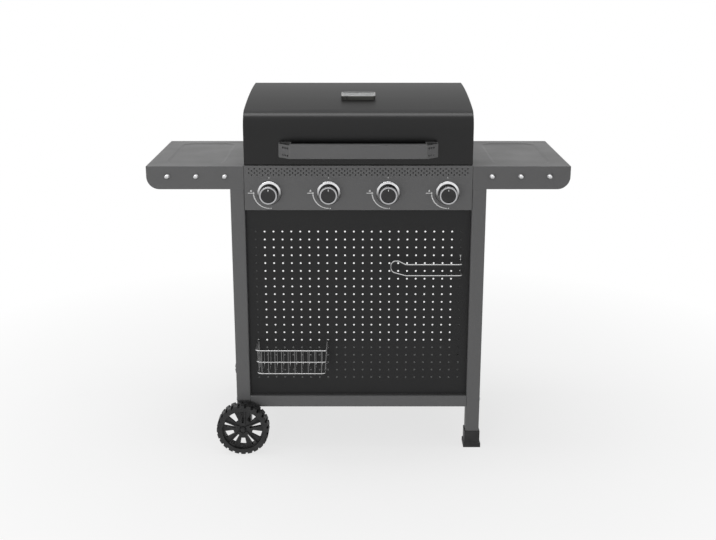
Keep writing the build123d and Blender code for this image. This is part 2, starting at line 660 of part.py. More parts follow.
def gas_valve(x):
    """A brass valve block with its nozzle and the bore that the stem slides in."""
    half = VALVE_WIDTH / 2
    body = block(x - half, x + half, VALVE_FRONT, VALVE_REAR, MANIFOLD_TOP, MANIFOLD_TOP + VALVE_HEIGHT)
    body += rod((x, VALVE_REAR, KNOB_Z), (x, VALVE_REAR + NOZZLE_REACH, KNOB_Z), NOZZLE_R)
    deep = VALVE_FRONT + STEM_IN_VALVE + 2 * PUSH_TRAVEL
    return body - rod((x, VALVE_FRONT, KNOB_Z), (x, deep, KNOB_Z), STEM_R + SPIN_SLACK)


def manifold():
    """A square gas pipe under the valves, with end tabs on the firebox wall and a drilled right end."""
    end, low, wall = MANIFOLD_END_X, MANIFOLD_LOW, MANIFOLD_WALL
    front, rear = MANIFOLD_FRONT, MANIFOLD_REAR
    pipe = block(-end, end, front, rear, low, MANIFOLD_TOP)
    pipe += [block(s * end, s * (end - MANIFOLD_TAB), front, VALVE_ROOM, low, MANIFOLD_TOP) for s in (-1, 1)]
    core = end - MANIFOLD_TAB
    pipe -= block(-core, core, front + wall, rear - wall, low + wall, MANIFOLD_TOP - wall)
    return pipe - rod((core, INLET_Y, INLET_Z), (end, INLET_Y, INLET_Z), INLET_BORE_R)


def gas_inlet():
    """A brass hose fitting on the manifold's right end: hexagon, spigot and bore."""
    nut_end = MANIFOLD_END_X + INLET_NUT_HEIGHT
    tip = nut_end + INLET_LENGTH
    start = (MANIFOLD_END_X, INLET_Y, INLET_Z)
    hexagon = Plane(origin=start, z_dir=(1, 0, 0)) * RegularPolygon(INLET_NUT_R, 6)
    fitting = extrude(hexagon, amount=INLET_NUT_HEIGHT)
    fitting += rod((nut_end, INLET_Y, INLET_Z), (tip, INLET_Y, INLET_Z), INLET_R)
    return fitting - rod(start, (tip, INLET_Y, INLET_Z), INLET_BORE_R)


# Firebox and its contents

def firebox():
    """The open tub with a sloping front shoulder, a floor falling to the drain, hangers and ledges."""
    shoulder = BOX_RIM - SHOULDER_TOP
    outline = [(BOX_FRONT, BOX_RIM), (BOX_FRONT, shoulder), (VALVE_ROOM, shoulder - SHOULDER_FALL)]
    outline += [(VALVE_ROOM, BOX_FLOOR), (DRAIN_Y, DRAIN_Z), (BOX_REAR, BOX_FLOOR), (BOX_REAR, BOX_RIM)]
    face = Face(Wire.make_polygon([(-BOX_HALF, y, z) for y, z in outline], close=True))
    tub = Solid.extrude(face, Vector(2 * BOX_HALF, 0, 0))
    core = offset(face, -BOX_SHEET, kind=Kind.INTERSECTION).faces()[0]
    core = Pos(BOX_SHEET, 0, 0) * Solid.extrude(core, Vector(2 * INNER_HALF, 0, 0))
    front, rear = BOX_FRONT + BOX_SHEET, BOX_REAR - BOX_SHEET
    mouth = block(-INNER_HALF, INNER_HALF, front, rear, BOX_RIM - 2 * BOX_SHEET, BOX_RIM)
    wide, deep = DRAIN_WIDTH / 2, DRAIN_DEPTH / 2
    drain = block(-wide, wide, DRAIN_Y - deep, DRAIN_Y + deep, DRAIN_Z, BOX_FLOOR)
    tub = tub - [core, mouth, drain]
    hanger_front = LEG_FRONT + LEG_SIZE + HANGER_INSET
    hanger_rear = LEG_REAR - HANGER_INSET
    for s in (-1, 1):
        out = s * (BOX_HALF + HANGER_WIDTH)
        tub += block(s * BOX_HALF, out, hanger_front, hanger_rear, BEAM_TOP, BEAM_TOP + BOX_SHEET)
    wall = VALVE_ROOM + BOX_SHEET
    for z, y in ((GRATE_SEAT, front), (PLATE_SEAT, wall)):
        tub += block(-INNER_HALF, INNER_HALF, y, y + LEDGE, z - LEDGE_THICK, z)
        tub += block(-INNER_HALF, INNER_HALF, rear - LEDGE, rear, z - LEDGE_THICK, z)
    holes = [rod((x, VALVE_ROOM, KNOB_Z), (x, wall, KNOB_Z), BURNER_R + HOLE_SLACK) for x in KNOB_XS]
    holes += [rod((x, VALVE_ROOM, z), (x, wall, z), SPARK_R + HOLE_SLACK) for x, z in spark_places()]
    return tub - holes


def spark_places():
    """The (x, z) places of the igniter electrodes beside the burners."""
    return [(x - SPARK_SIDE if x > 0 else x + SPARK_SIDE, KNOB_Z) for x in KNOB_XS]


def burner(x):
    """A tube burner: open at the valve, closed at the rear wall, with a row of ports on top."""
    front, rear = VALVE_ROOM - BURNER_LEAD, BOX_REAR - BOX_SHEET
    tube = rod((x, front, KNOB_Z), (x, rear, KNOB_Z), BURNER_R)
    bore = rod((x, front, KNOB_Z), (x, rear - BURNER_PLUG, KNOB_Z), BURNER_R - BURNER_WALL)
    first, last = VALVE_ROOM + PORT_MARGIN, rear - PORT_MARGIN
    count = floor((last - first) / PORT_STEP) + 1
    places = [first + PORT_STEP * i for i in range(count)]
    ports = [rod((x, y, KNOB_Z), (x, y, KNOB_Z + 2 * BURNER_R), PORT_R) for y in places]
    return tube - [bore] - ports


def heat_plate(x):
    """A folded roof of sheet over one burner, seated on the ledges."""
    half = INNER_HALF - KNOB_XS[-1] - PLATE_SIDE_GAP
    t = PLATE_SHEET
    top = PLATE_SEAT + PLATE_RISE
    slope = t * sqrt(half * half + PLATE_RISE * PLATE_RISE) / half
    foot_out = t * sqrt(half * half + PLATE_RISE * PLATE_RISE) / PLATE_RISE
    roof = [(x - half, PLATE_SEAT), (x, top), (x + half, PLATE_SEAT), (x + half - foot_out, PLATE_SEAT)]
    roof += [(x, top - slope), (x - half + foot_out, PLATE_SEAT)]
    front, rear = VALVE_ROOM + BOX_SHEET + PANEL_GAP, BOX_REAR - BOX_SHEET - PANEL_GAP
    face = Face(Wire.make_polygon([(px, front, pz) for px, pz in roof], close=True))
    return Solid.extrude(face, Vector(0, rear - front, 0))


def spark_electrode(x, z):
    """A ceramic rod through the firebox wall with a thin metal tip."""
    mid = VALVE_ROOM + SPARK_LENGTH / 2
    body = rod((x, mid - SPARK_LENGTH, z), (x, mid, z), SPARK_R)
    return body + rod((x, mid, z), (x, mid + SPARK_TIP, z), SPARK_TIP_R)


def cooking_grate(side):
    """A cast grate: long slots on each side of a middle cross bar, seated on the ledges."""
    x0, x1 = GRATE_GAP / 2, INNER_HALF - GRATE_GAP
    y0, y1 = BOX_FRONT + BOX_SHEET + GRATE_GAP, BOX_REAR - BOX_SHEET - GRATE_GAP
    count = floor((x1 - x0 - 2 * GRATE_FRAME + GRATE_PITCH - GRATE_SLOT) / GRATE_PITCH)
    first = (x0 + x1) / 2 - GRATE_PITCH * (count - 1) / 2
    long = (y1 - y0 - 3 * GRATE_FRAME) / 2
    rings = []
    for i in range(count):
        for y in (y0 + GRATE_FRAME, y1 - GRATE_FRAME - long):
            a, b = first + GRATE_PITCH * i - GRATE_SLOT / 2, first + GRATE_PITCH * i + GRATE_SLOT / 2
            corners = [(a, y), (b, y), (b, y + long), (a, y + long)]
            rings.append(Wire.make_polygon([(side * px, py, GRATE_SEAT) for px, py in corners], close=True))
    corners = [(x0, y0), (x1, y0), (x1, y1), (x0, y1)]
    outline = Wire.make_polygon([(side * px, py, GRATE_SEAT) for px, py in corners], close=True)
    return Solid.extrude(Face(outline, rings), Vector(0, 0, GRATE_THICK))


def warming_rack():
    """Two bent end frames standing on the grates, with long wires welded across them."""
    x = INNER_HALF - GRATE_GAP - GRATE_FRAME / 2
    rear = BOX_REAR - BOX_SHEET - RACK_REAR_GAP
    front = rear - RACK_DEPTH
    top = GRATE_TOP + RACK_RISE
    frames = []
    for s in (-1, 1):
        points = [(s * x, front, GRATE_TOP), (s * x, front, top)]
        points += [(s * x, rear, top), (s * x, rear, GRATE_TOP)]
        frames.append(bent_wire(points, RACK_BEND, RACK_WIRE_R))
    level = top + 2 * RACK_WIRE_R - WELD_SINK
    first, last = front + RACK_BEND, rear - RACK_BEND
    step = (last - first) / (RACK_WIRES - 1)
    places = [first + step * i for i in range(RACK_WIRES)]
    wires = [rod((-x, y, level), (x, y, level), RACK_WIRE_R) for y in places]
    return frames[0] + frames[1:] + wires


# Grease tray, runners and cup

LIP_TOP = DRAIN_Z - RUNNER_DROP
TRAY_FRONT = VALVE_ROOM + TRAY_FRONT_GAP
TRAY_REAR = BOX_REAR


def tray_runner(side):
    """A hanging angle under the firebox floor whose lip carries one edge of the tray."""
    inner = TRAY_WIDTH / 2 + TRAY_LIP + PANEL_GAP
    outline = [(TRAY_FRONT, LIP_TOP - RUNNER_SHEET), (TRAY_REAR, LIP_TOP - RUNNER_SHEET)]
    fall = DRAIN_DROP * (TRAY_FRONT - VALVE_ROOM) / (DRAIN_Y - VALVE_ROOM)
    outline += [(TRAY_REAR, BOX_FLOOR), (DRAIN_Y, DRAIN_Z), (TRAY_FRONT, BOX_FLOOR - fall)]
    runner = prism_x(outline, side * inner, side * (inner + RUNNER_SHEET))
    lip_inner = side * (inner + RUNNER_SHEET - TRAY_LIP)
    return runner + block(lip_inner, side * inner, TRAY_FRONT, TRAY_REAR, LIP_TOP - RUNNER_SHEET, LIP_TOP)


def grease_tray():
    """An open tray with side lips that slide on the runners, a cup hole and a pull at the rear."""
    half = TRAY_WIDTH / 2
    t = TRAY_SHEET
    top = LIP_TOP + RUN_GAP + t
    low = top - TRAY_DEPTH
    front, rear = TRAY_FRONT + t, TRAY_REAR - t
    tray = block(-half, half, front, rear, low, top)
    tray -= block(-half + t, half - t, front + t, rear - t, low + t, top)
    for s in (-1, 1):
        tray += block(s * half, s * (half + TRAY_LIP), front, rear, top - t, top)
    end = rear + PULL_REACH
    tray += block(-half / 2, half / 2, rear, end, low, low + t)
    tray += block(-half / 2, half / 2, end - t, end, low - PULL_DROP, low + t)
    return tray - rod((0, DRAIN_Y, low), (0, DRAIN_Y, low + t), CUP_R + HOLE_SLACK)


def grease_cup():
    """A drawn cup hanging by its rim in the tray's hole."""
    seat = LIP_TOP + RUN_GAP + TRAY_SHEET - TRAY_DEPTH + TRAY_SHEET
    inside = CUP_WALL - CUP_HEIGHT
    profile = [(0, -CUP_HEIGHT), (CUP_BASE_R, -CUP_HEIGHT), (CUP_R, 0), (CUP_R + CUP_RIM, 0)]
    profile += [(CUP_R + CUP_RIM, CUP_WALL), (CUP_R - CUP_WALL, CUP_WALL)]
    profile += [(CUP_BASE_R - CUP_WALL, inside), (0, inside)]
    return turned(profile, (0, DRAIN_Y, seat), (0, 0, 1))


# Lid: bent shell, end plates, handle, hinges and bumpers

def lid_outline(x):
    """The lid's side outline: upright front, a round bend, an arched top and an upright rear."""
    low = LID_BOTTOM - LID_HEM
    corner = (LID_SETBACK, LID_BOTTOM + LID_FRONT)
    with_x = [(x, *p) for p in ((LID_SETBACK, low), corner, (LID_REAR, LID_TOP), (LID_REAR, low))]
    edges = [Line(with_x[0], with_x[1]), TangentArc(with_x[2], with_x[1], tangent=(0, -1, 0))]
    edges += [Line(with_x[2], with_x[3]), Line(with_x[3], with_x[0])]
    face = make_face(edges).face()
    face = face.fillet_2d(LID_BEND, face.vertices().sort_by_distance(with_x[1])[:1])
    return face.fillet_2d(LID_REAR_BEND, face.vertices().sort_by_distance(with_x[2])[:1])


def lid_arch(y):
    """Height and slope in degrees of the lid's arched top at a distance behind its face."""
    run, rise = LID_REAR - LID_SETBACK, LID_HEIGHT - LID_FRONT
    radius = (run * run + rise * rise) / (2 * rise)
    back = run - y
    return LID_TOP - radius + sqrt(radius * radius - back * back), degrees(asin(back / radius))


GAUGE_Z, GAUGE_TILT = lid_arch(GAUGE_BACK)
GAUGE_PLACE = Pos(0, LID_SETBACK + GAUGE_BACK, GAUGE_Z) * Rot(GAUGE_TILT, 0, 0)


def above_edge(solid):
    """Cuts a lid piece off level with the lid's lower edge."""
    low = LID_BOTTOM - LID_HEIGHT
    return solid - block(-LID_HALF, LID_HALF, 0, CART_DEPTH, low, LID_BOTTOM)


def bolt_places():
    """The (x, z) places of the bolts that hold the handle's brackets."""
    x = (HANDLE_BAR + HANDLE_SPAN) / 4
    mid = LID_BOTTOM + HANDLE_RISE + HANDLE_HEIGHT / 2
    return [(s * x, mid + up * BOLT_ROW / 2) for s in (-1, 1) for up in (-1, 1)]


def lid_shell():
    """Front, top and rear of the lid bent from one sheet, with a hem along the front edge."""
    half = LID_HALF - LID_SHEET
    outer = lid_outline(-half)
    inner = offset(outer, -LID_SHEET, kind=Kind.INTERSECTION).faces()[0]
    ring = Solid.extrude(outer, Vector(2 * half, 0, 0)) - Solid.extrude(inner, Vector(2 * half, 0, 0))
    shell = above_edge(ring)
    inside = LID_SETBACK + LID_SHEET
    shell += block(-half, half, inside, inside + LID_HEM, LID_BOTTOM, LID_BOTTOM + LID_SHEET)
    probe = GAUGE_PLACE * rod((0, 0, -2 * GAUGE_HEIGHT), (0, 0, GAUGE_HEIGHT), PROBE_R + HOLE_SLACK)
    bolts = [rod((x, LID_SETBACK, z), (x, inside, z), BOLT_R + HOLE_SLACK) for x, z in bolt_places()]
    return shell - [probe] - bolts


def lid_end(side):
    """A flat end plate with the lid's outline."""
    x = LID_HALF - LID_SHEET
    face = lid_outline(side * x)
    return above_edge(Solid.extrude(face, Vector(side * LID_SHEET, 0, 0)))


def lid_bumper(side):
    """A small pad under the hem that the lid comes down on."""
    x = side * BUMPER_X
    y0 = LID_SETBACK + LID_SHEET
    low = CONTROL_TOP + RUN_GAP
    return block(x - BUMPER_WIDTH / 2, x + BUMPER_WIDTH / 2, y0, y0 + LID_HEM, low, LID_BOTTOM)


HANDLE_FACE = LID_SETBACK - HANDLE_REACH
HANDLE_LOW = LID_BOTTOM + HANDLE_RISE
HANDLE_TOP = HANDLE_LOW + HANDLE_HEIGHT


def handle_bar():
    """A wide box-section bar with closed ends."""
    half = HANDLE_BAR / 2
    t = HANDLE_WALL
    bar = block(-half, half, HANDLE_FACE, HANDLE_FACE + HANDLE_DEPTH, HANDLE_LOW, HANDLE_TOP)
    long_edges = bar.edges().filter_by(Axis.X)
    bar = fillet(long_edges, t)
    rear = HANDLE_FACE + HANDLE_DEPTH
    return bar - block(-half + t, half - t, HANDLE_FACE + t, rear, HANDLE_LOW + t, HANDLE_TOP - t)


def handle_bracket(side):
    """A bent strip open above and below: angled face with cooling holes, two sides, a foot on the lid."""
    t = HANDLE_WALL
    bar_end, foot_end = HANDLE_BAR / 2, HANDLE_SPAN / 2
    run, slope = foot_end - bar_end, BRACKET_SLOPE
    lean = sqrt(run * run + slope * slope)
    back = LID_SETBACK - t
    tip = HANDLE_FACE + t * lean / run
    plan = [(bar_end, HANDLE_FACE), (foot_end, HANDLE_FACE + slope)]
    plan += [(foot_end, LID_SETBACK), (bar_end, LID_SETBACK)]
    room = [(bar_end + t, tip + slope * t / run), (foot_end - t, tip + slope * (run - t) / run)]
    room += [(foot_end - t, back), (bar_end + t, back)]
    faces = []
    for outline in (plan, room):
        wire = Wire.make_polygon([(side * x, y, HANDLE_LOW) for x, y in outline], close=True)
        faces.append(Face(wire))
    rise = Vector(0, 0, HANDLE_HEIGHT)
    body = Solid.extrude(faces[0], rise) - Solid.extrude(faces[1], rise)
    mid = HANDLE_LOW + HANDLE_HEIGHT / 2
    out = Vector(side * slope / lean, -run / lean, 0)
    cuts = []
    for i in range(HANDLE_HOLES):
        share = (HANDLE_HOLE_START + HANDLE_HOLE_STEP * i) / lean
        x, y = side * (bar_end + run * share), HANDLE_FACE + slope * share
        for z in (mid - HANDLE_HOLE_ROW / 2, mid + HANDLE_HOLE_ROW / 2):
            start = Vector(x, y, z) + out * t
            cuts.append(rod(tuple(start), tuple(start - out * 3 * t), HANDLE_HOLE_R))
    cuts += [rod((x, back, z), (x, LID_SETBACK, z), BOLT_R + HOLE_SLACK) for x, z in bolt_places()]
    return body - cuts


def handle_bolt(x, z):
    """A bolt from inside the lid into the bracket's foot."""
    inside = LID_SETBACK + LID_SHEET
    head = rod((x, inside, z), (x, inside + BOLT_HEAD_THICK, z), BOLT_HEAD_R)
    return head + rod((x, inside, z), (x, inside - BOLT_GRIP, z), BOLT_R)


def hinge_ear(x, thick, outline):
    """One drilled ear of a hinge: an outline of (y, z) points joined to a round eye."""
    eye = rod((x, HINGE_Y, HINGE_Z), (x + thick, HINGE_Y, HINGE_Z), EAR_R)
    return eye + prism_x(outline, x, x + thick)


def hinge_bore(x0, x1):
    """The bore for the hinge pin between two x values."""
    return rod((x0, HINGE_Y, HINGE_Z), (x1, HINGE_Y, HINGE_Z), HINGE_PIN_R + SPIN_SLACK)


def hinge_places(side):
    """The x values where one hinge's three ears start, from left to right."""
    first = side * HINGE_X - 1.5 * EAR_THICK - EAR_SIDE_GAP
    return [first + i * (EAR_THICK + EAR_SIDE_GAP) for i in range(3)]


def hinge_bracket(side):
    """A plate on the firebox's rear wall with two ears that reach under the lid's edge."""
    bridge = LID_BOTTOM - HINGE_UNDER
    low = bridge - HINGE_PLATE_DROP
    near, far = HINGE_Y - EAR_R, HINGE_Y + EAR_R
    outline = [(BOX_REAR, low), (BOX_REAR, bridge), (near, bridge), (near, HINGE_Z), (far, HINGE_Z)]
    outline += [(far, bridge - EAR_R), (BOX_REAR + EAR_THICK, low)]
    starts = hinge_places(side)
    bracket = block(starts[0], starts[2] + EAR_THICK, BOX_REAR, BOX_REAR + EAR_THICK / 2, low, bridge)
    bracket += [hinge_ear(x, EAR_THICK, outline) for x in (starts[0], starts[2])]
    return bracket - hinge_bore(starts[0], starts[2] + EAR_THICK)


def lid_ear(side):
    """The single ear on the lid's rear wall, between the bracket's two."""
    outline = [(LID_REAR, HINGE_Z - EAR_R), (HINGE_Y, HINGE_Z - EAR_R), (HINGE_Y, HINGE_Z + EAR_R)]
    outline += [(LID_REAR, HINGE_Z + EAR_R)]
    x = hinge_places(side)[1]
    ear = hinge_ear(x, EAR_THICK, outline)
    low, high = HINGE_Z + EAR_R, HINGE_Z + EAR_PLATE
    ear += block(x - EAR_THICK, x + 2 * EAR_THICK, LID_REAR, LID_REAR + EAR_GAP / 2, low, high)
    gusset = [(LID_REAR, HINGE_Z), (HINGE_Y, HINGE_Z), (LID_REAR, HINGE_Z + 2 * EAR_R)]
    ear += prism_x(gusset, x, x + EAR_THICK)
    return ear - hinge_bore(x, x + EAR_THICK)


def hinge_pin(side):
    """A headed pin through the three ears."""
    starts = hinge_places(side)
    end = starts[2] + EAR_THICK
    pin = rod((starts[0], HINGE_Y, HINGE_Z), (end + HINGE_PIN_HEAD, HINGE_Y, HINGE_Z), HINGE_PIN_R)
    head = starts[0] - HINGE_PIN_HEAD
    return pin + rod((head, HINGE_Y, HINGE_Z), (starts[0], HINGE_Y, HINGE_Z), HINGE_PIN_HEAD_R)


# Lid thermometer

def gauge_housing():
    """A chromed case on the lid's top: bezel, dial floor, needle post and probe."""
    half_w, half_d = GAUGE_WIDTH / 2, GAUGE_DEPTH / 2
    case = block(-half_w, half_w, -half_d, half_d, 0, GAUGE_HEIGHT)
    case = fillet(case.edges().filter_by(Axis.Z), GAUGE_CORNER)
    case = chamfer(case.faces().sort_by(Axis.Z)[-1].edges(), LENS_SINK)
    in_w, in_d = half_w - GAUGE_BEZEL, half_d - GAUGE_BEZEL
    room = block(-in_w, in_w, -in_d, in_d, GAUGE_FLOOR, GAUGE_HEIGHT)
    seat = GAUGE_HEIGHT - LENS_SINK - LENS_THICK
    ledge_w, ledge_d = in_w + LENS_LEDGE, in_d + LENS_LEDGE
    rebate = block(-ledge_w, ledge_w, -ledge_d, ledge_d, seat, GAUGE_HEIGHT)
    case -= [room, rebate]
    shoulder = needle_level() - RUN_GAP
    pivot_y = needle_y()
    case += rod((0, pivot_y, GAUGE_FLOOR), (0, pivot_y, shoulder), NEEDLE_HUB_R)
    case += rod((0, pivot_y, shoulder), (0, pivot_y, needle_level() + 2 * NEEDLE_THICK), NEEDLE_POST_R)
    case += rod((0, 0, -PROBE_LENGTH), (0, 0, 0), PROBE_R)
    return GAUGE_PLACE * case


def needle_level():
    """Height of the needle's underside above the lid in the thermometer's own frame."""
    return GAUGE_FLOOR + NEEDLE_THICK


def needle_y():
    """The needle's pivot, from the middle of the thermometer towards its front edge."""
    return NEEDLE_FROM_FRONT - GAUGE_DEPTH / 2


def gauge_lens():
    """The flat window over the dial."""
    slack = HOLE_SLACK
    half_w = GAUGE_WIDTH / 2 - GAUGE_BEZEL + LENS_LEDGE - slack
    half_d = GAUGE_DEPTH / 2 - GAUGE_BEZEL + LENS_LEDGE - slack
    seat = GAUGE_HEIGHT - LENS_SINK - LENS_THICK
    return GAUGE_PLACE * block(-half_w, half_w, -half_d, half_d, seat, seat + LENS_THICK)


def gauge_needle():
    """A flat pointer with a drilled hub, at its cold position."""
    z0 = needle_level()
    z1 = z0 + NEEDLE_THICK
    hub = rod((0, 0, z0), (0, 0, z1), NEEDLE_HUB_R)
    hub += block(-NEEDLE_WIDTH / 2, NEEDLE_WIDTH / 2, 0, NEEDLE_LENGTH, z0, z1)
    hub -= rod((0, 0, z0), (0, 0, z1), NEEDLE_POST_R + SPIN_SLACK)
    return GAUGE_PLACE * Pos(0, needle_y(), 0) * Rot(0, 0, NEEDLE_REST) * hub


# Wire accessories on the pegboard

def condiment_basket():
    """A welded wire basket whose top rail ends in two hooks through the pegboard."""
    z_top = PEG_ZS[-1] + PEG_PITCH_Z * BASKET_ROW
    left, right = PEG_XS[0], PEG_XS[BASKET_COLUMNS]
    mid, half = (left + right) / 2, (right - left) / 2
    behind = PEGBOARD_SETBACK + SHEET + HOOK_BACK
    front = PEGBOARD_SETBACK - BASKET_DEPTH
    rear = PEGBOARD_SETBACK - BASKET_WIRE_R - RUN_GAP
    rail = [(left, behind, z_top + HOOK_RISE), (left, behind, z_top), (left, front, z_top)]
    rail += [(right, front, z_top), (right, behind, z_top), (right, behind, z_top + HOOK_RISE)]
    bends = [HOOK_BEND, BASKET_CORNER, BASKET_CORNER, HOOK_BEND]
    wires = [bent_wire(rail, bends, BASKET_WIRE_R)]
    for share in (0.5, 1.0):
        w = half - BASKET_TAPER * share
        z = z_top - BASKET_HEIGHT * share
        loop = [(mid - w, front, z), (mid + w, front, z), (mid + w, rear, z), (mid - w, rear, z)]
        wires.append(bent_wire(loop, BASKET_CORNER, BASKET_WIRE_R, close=True))
    beside = BASKET_WIRE_R + BASKET_THIN_R - WELD_SINK
    low = z_top - BASKET_HEIGHT - BASKET_FLOOR_BEND
    inner = half - BASKET_TAPER - BASKET_CORNER
    for i in range(BASKET_UPRIGHTS):
        x = mid + inner * (2 * i / (BASKET_UPRIGHTS - 1) - 1)
        y0, y1 = front + beside, rear - beside
        rise = z_top - BASKET_HEIGHT / 2 + BASKET_WIRE_R
        path = [(x, y0, z_top + BASKET_WIRE_R), (x, y0, low), (x, y1, low), (x, y1, rise)]
        wires.append(bent_wire(path, BASKET_FLOOR_BEND, BASKET_THIN_R))
    t, b = half - beside, half - BASKET_TAPER - beside
    for i in range(BASKET_SIDE_WIRES):
        y = front + (rear - BASKET_CORNER - front) * (i + 1) / BASKET_SIDE_WIRES
        for s in (-1, 1):
            wires.append(rod((mid + s * t, y, z_top), (mid + s * b, y, z_top - BASKET_HEIGHT), BASKET_THIN_R))
    return wires[0] + wires[1:]


def towel_holder():
    """One bent wire: a hook in the pegboard, two arms and an end loop, and a pin in a lower hole."""
    x = PEG_XS[-1]
    behind = PEGBOARD_SETBACK + SHEET + HOOK_BACK
    face = PEGBOARD_SETBACK - HOLDER_WIRE_R - RUN_GAP
    out = PEGBOARD_SETBACK - HOLDER_REACH
    hook, low = PEG_ZS[HOLDER_HOOK_ROW], PEG_ZS[HOLDER_PIN_ROW]
    high = low + HOLDER_ARM_GAP
    tip = x - HOLDER_LENGTH
    neck = tip + HOLDER_LOOP
    crest = high + HOLDER_LOOP_RISE
    points = [(x, behind, hook + HOOK_RISE), (x, behind, hook), (x, face, hook), (x, face, high)]
    points += [(x, out, high), (neck, out, high), (neck - HOLDER_LOOP / 2, out, crest), (tip, out, crest)]
    points += [(tip, out, low + HOLDER_LOOP_LIFT), (neck, out, low), (x, out, low), (x, behind, low)]
    loop = HOLDER_LOOP_BEND
    bends = [HOOK_BEND, FACE_BEND, HOOK_BEND, HOLDER_BEND, loop, HOLDER_BEND, loop, loop, loop, HOLDER_BEND]
    return bent_wire(points, bends, HOLDER_WIRE_R)


# Every piece, written in the order in which the grill is put together
os.makedirs("parts", exist_ok=True)

LEFT_BOTTOM = WHEEL_R - AXLE_COVER
for name, y in (("front", LEG_FRONT), ("rear", LEG_REAR)):
    save("leg_" + name + "_left", leg(-LEG_X, y, LEFT_BOTTOM, [axle_hole(y), screw_hole(-1, y)]))
    save("leg_" + name + "_right", leg(LEG_X, y, FOOT_FLOOR, [screw_hole(1, y)]))
    save(name + "_rail", cross_rail(y))
save("feet", foot(LEG_FRONT), foot(LEG_REAR))
save("side_rails", side_tube(-1, RAIL_BOTTOM, RAIL_TOP), side_tube(1, RAIL_BOTTOM, RAIL_TOP))
BEAM_BOTTOM = BEAM_TOP - BEAM_HEIGHT
save("firebox_beams", side_tube(-1, BEAM_BOTTOM, BEAM_TOP), side_tube(1, BEAM_BOTTOM, BEAM_TOP))
save("frame_screws", *[frame_screw(side, y) for side in (-1, 1) for y in (LEG_FRONT, LEG_REAR)])
save("bottom_shelf", bottom_shelf())

WHEEL_OFFSET = WHEEL_GAP + WHEEL_WIDTH / 2
NUT_START = WHEEL_OFFSET + WHEEL_WIDTH / 2 - HUB_RECESS + RUN_GAP
AXLE_END = NUT_START + NUT_HEIGHT / 2
LEG_BACK = LEG_REAR + LEG_SIZE
save("wheel_front", wheel(LEG_FRONT - WHEEL_OFFSET, -1))
save("wheel_rear", wheel(LEG_BACK + WHEEL_OFFSET, 1))
save("axle", rod((WHEEL_X, LEG_FRONT - AXLE_END, WHEEL_R), (WHEEL_X, LEG_BACK + AXLE_END, WHEEL_R), AXLE_R))
save("axle_nuts", axle_nut(LEG_FRONT - NUT_START, -1), axle_nut(LEG_BACK + NUT_START, 1))

save("pegboard", pegboard())
save("left_shelf", side_shelf(-1))
save("right_shelf", side_shelf(1))
save("shelf_braces", *[shelf_brace(side, y) for side in (-1, 1) for y in (LEG_FRONT, LEG_REAR)])
save("utensil_pegs", *[utensil_peg(x, z) for side in (-1, 1) for x, z in peg_places(side)])

save("firebox", firebox())
save("manifold", manifold())
save("gas_inlet", gas_inlet())
save("gas_valves", *[gas_valve(x) for x in KNOB_XS])
save("control_panel", control_panel())
save("knob_bezels", *[bezel(x) for x in KNOB_XS])
for number, x in enumerate(KNOB_XS, 1):
    save("burner_" + str(number), burner(x))
    save("stem_" + str(number), stem(x))
    save("knob_" + str(number), knob(x))
save("igniter_electrodes", *[spark_electrode(x, z) for x, z in spark_places()])
save("heat_plates", *[heat_plate(x) for x in KNOB_XS])
save("grate_left", cooking_grate(-1))
save("grate_right", cooking_grate(1))
save("warming_rack", warming_rack())
save("tray_runners", tray_runner(-1), tray_runner(1))
save("grease_tray", grease_tray())
save("grease_cup", grease_cup())

save("lid_shell", lid_shell())
save("lid_ends", lid_end(-1), lid_end(1))
save("lid_bumpers", lid_bumper(-1), lid_bumper(1))
save("lid_handle", handle_bar())
save("handle_brackets", handle_bracket(-1), handle_bracket(1))
save("handle_bolts", *[handle_bolt(x, z) for x, z in bolt_places()])
save("hinge_brackets", hinge_bracket(-1), hinge_bracket(1))
save("lid_hinge_ears", lid_ear(-1), lid_ear(1))
save("hinge_pins", hinge_pin(-1), hinge_pin(1))
save("gauge_housing", gauge_housing())
save("gauge_lens", gauge_lens())
save("gauge_needle", gauge_needle())

save("condiment_basket", condiment_basket())
save("towel_holder", towel_holder())
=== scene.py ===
# A four-burner gas grill on an open cart: the looks of its pieces, in the order in which it is put together.
import json

import bmesh
import bpy
import numpy as np
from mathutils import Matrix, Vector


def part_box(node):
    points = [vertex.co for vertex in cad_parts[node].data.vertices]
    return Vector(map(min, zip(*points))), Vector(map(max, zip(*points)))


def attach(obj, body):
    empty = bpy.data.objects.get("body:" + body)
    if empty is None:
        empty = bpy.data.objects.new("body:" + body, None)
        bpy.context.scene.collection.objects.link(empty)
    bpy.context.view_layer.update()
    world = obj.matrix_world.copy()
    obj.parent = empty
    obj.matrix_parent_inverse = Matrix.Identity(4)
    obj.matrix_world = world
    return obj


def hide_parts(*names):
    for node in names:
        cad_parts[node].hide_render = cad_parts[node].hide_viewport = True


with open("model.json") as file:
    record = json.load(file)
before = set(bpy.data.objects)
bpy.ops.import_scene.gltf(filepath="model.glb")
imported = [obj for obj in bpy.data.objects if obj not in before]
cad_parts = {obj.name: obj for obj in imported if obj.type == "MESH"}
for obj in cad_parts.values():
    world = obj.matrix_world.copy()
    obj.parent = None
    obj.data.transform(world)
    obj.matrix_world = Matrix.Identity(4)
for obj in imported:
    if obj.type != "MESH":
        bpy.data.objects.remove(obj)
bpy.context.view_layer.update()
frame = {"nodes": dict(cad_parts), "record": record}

nodes = frame["nodes"]


# Cart frame: square steel tubes, screwed and welded together, with a folded plate as the bottom shelf.
# Everything is powder-coated in graphite grey, with fine metal flake under a faint orange peel.
def blank_material(name):
    """A new material with its node tree, its shader and the piece's own coordinates."""
    material = bpy.data.materials.new(name)
    material.use_nodes = True
    tree = material.node_tree
    place = tree.nodes.new("ShaderNodeTexCoord").outputs["Object"]
    return material, tree, tree.nodes["Principled BSDF"], place


def grey(level):
    """A neutral colour."""
    return (level, level, level)


